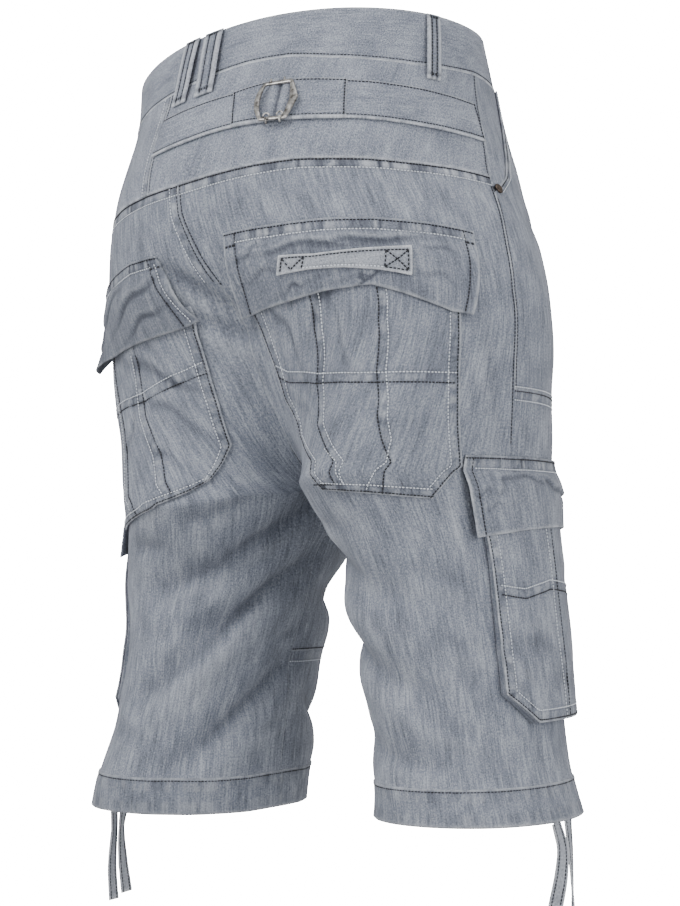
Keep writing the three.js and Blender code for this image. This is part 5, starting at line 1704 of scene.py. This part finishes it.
materials = {
    # stonewashed warp-faced denim: blue-grey with upright pale slubs
    "denim": denim("stonewashed_denim", "50555f", "828896", "bcc1ca", "d6dae0"),
    # the same cloth on bands and yoke, less faded by streaks
    "trim": denim("stonewashed_denim_band", "585d69", "868c9a", "bbc0ca", "d6dae0", streaks=0.6, speckle=1.5),
    # the cloth's reverse, where the undyed weft shows: paler and plainer
    "reverse": denim("denim_reverse", "7a7f89", "9da1aa", "bfc3ca", "cfd3d9", streaks=0.35),
    # folded strips of the same cloth, rubbed pale
    "tape": denim("folded_denim_strip", "747983", "a5aab4", "cacdd4", "e2e5ea", streaks=0.4, speckle=1.5),
    "dark": thread("black_sewing_thread", ("101218", "23262e")),
    "pale": thread("white_sewing_thread", ("e6edf7", "f6faff")),
    "nickel": castMetal("antique_nickel_plate", "6d6a66", "c9c7c3", 0.3),
    "darkMetal": castMetal("blackened_copper", "2e2724", "6e6259", 0.36),
}


# Stage, light and camera
def makeStage():
    # a pale floor, a metre below the waist, that turns up all round into a plain backdrop
    steps = 48
    rings = [(0.01, -1.0), (2.0, -1.0), (5.0, -1.0)]
    rings += [(5.0 + 3.0 * math.sin(a), 2.0 - 3.0 * math.cos(a)) for a in np.linspace(0.15, math.pi / 2, 9)]
    rings += [(8.0, 5.0), (7.0, 8.0), (4.0, 9.5), (0.01, 10.0)]
    angles = np.arange(steps) / steps * 2 * math.pi
    circle = np.stack([np.cos(angles), np.sin(angles)], 1)
    loops = [np.column_stack([circle * radius, np.full(steps, z)]) for radius, z in rings]
    points = np.concatenate(loops) / mm
    mesh = newMesh("floor_and_backdrop", points, [gridFaces(len(rings), steps, True)[:, ::-1]])
    stage = bpy.data.objects.new("floor_and_backdrop", mesh)
    bpy.context.scene.collection.objects.link(stage)
    # white paper that glows evenly by its own emission, which doesn't reach the garment
    paper = {"Base Color": linear("f4f4f5"), "Roughness": 0.9, "Emission Color": linear("ffffff"),
             "Emission Strength": 24.0}
    mesh.materials.append(newMaterial("lit_white_paper", paper)[0])
    stage.visible_diffuse = False
    stage.visible_glossy = False
    stage.visible_shadow = False


def areaLight(name, power, size, place, target):
    data = bpy.data.lights.new(name, "AREA")
    data.energy = power
    data.shape = "RECTANGLE"
    data.size, data.size_y = size
    light = bpy.data.objects.new(name, data)
    bpy.context.scene.collection.objects.link(light)
    light.location = place
    light.rotation_euler = (Vector(target) - Vector(place)).to_track_quat("-Z", "Y").to_euler()


def makeLight():
    world = bpy.data.worlds.new("studio")
    bpy.context.scene.world = world
    world.use_nodes = True
    background = world.node_tree.nodes["Background"]
    background.inputs[0].default_value = linear("ffffff")
    background.inputs[1].default_value = 0.55
    # directions on the ground: toward the camera, and to its right
    toward = np.array([-0.549, 0.8358])
    right = np.array([-0.8358, -0.549])
    at = lambda ahead, aside, up: (*(toward * ahead + right * aside), up)
    areaLight("key", 27, (1.1, 0.9), at(1.4, -1.3, 1.3), (0, 0, -0.2))
    areaLight("fill", 31, (1.6, 2.0), at(1.9, 1.5, -0.1), (0, 0, -0.4))
    areaLight("top", 9, (1.4, 1.4), at(0.2, 0.2, 1.9), (0, 0, 0))
    areaLight("side", 17, (1.2, 2.0), at(0.5, -2.2, -0.2), (0, 0, -0.4))


view = {"bearing": 33.3, "away": 2.4, "height": -0.2756, "focal": 3000, "right": 3, "down": 23,
        "picture": 906}


def makeCamera():
    # the photograph's viewing angle: from behind the wearer's right, level with the pocket's lower edge.
    # The focal length and the shift are in the picture's own dots, 906 of them high.
    data = bpy.data.cameras.new("camera")
    data.sensor_width = 36
    data.lens = view["focal"] / view["picture"] * data.sensor_width
    data.shift_x = view["right"] / view["picture"]
    data.shift_y = -view["down"] / view["picture"]
    camera = bpy.data.objects.new("camera", data)
    bpy.context.scene.collection.objects.link(camera)
    bearing = math.radians(view["bearing"])
    ahead = Vector((math.sin(bearing), -math.cos(bearing), 0))
    hip = Vector((0, 0, view["height"])) - Vector(waistCentre * mm)
    camera.location = hip - ahead * view["away"]
    camera.rotation_euler = ahead.to_track_quat("-Z", "Y").to_euler()
    bpy.context.scene.camera = camera


makeCamera()
makeLight()
makeStage()
report("camera, lights and backdrop are set")
makeTies()
makeWaistband()
makeYoke()
makeBackPanels()
makeFronts()
makeFly()
makeHems()
makeBackPockets()
makeCargoPockets()
makeStrap()
makeBeltLoops()
makeBuckle()
makeRivetsAndButton()
makeThreads(materials)
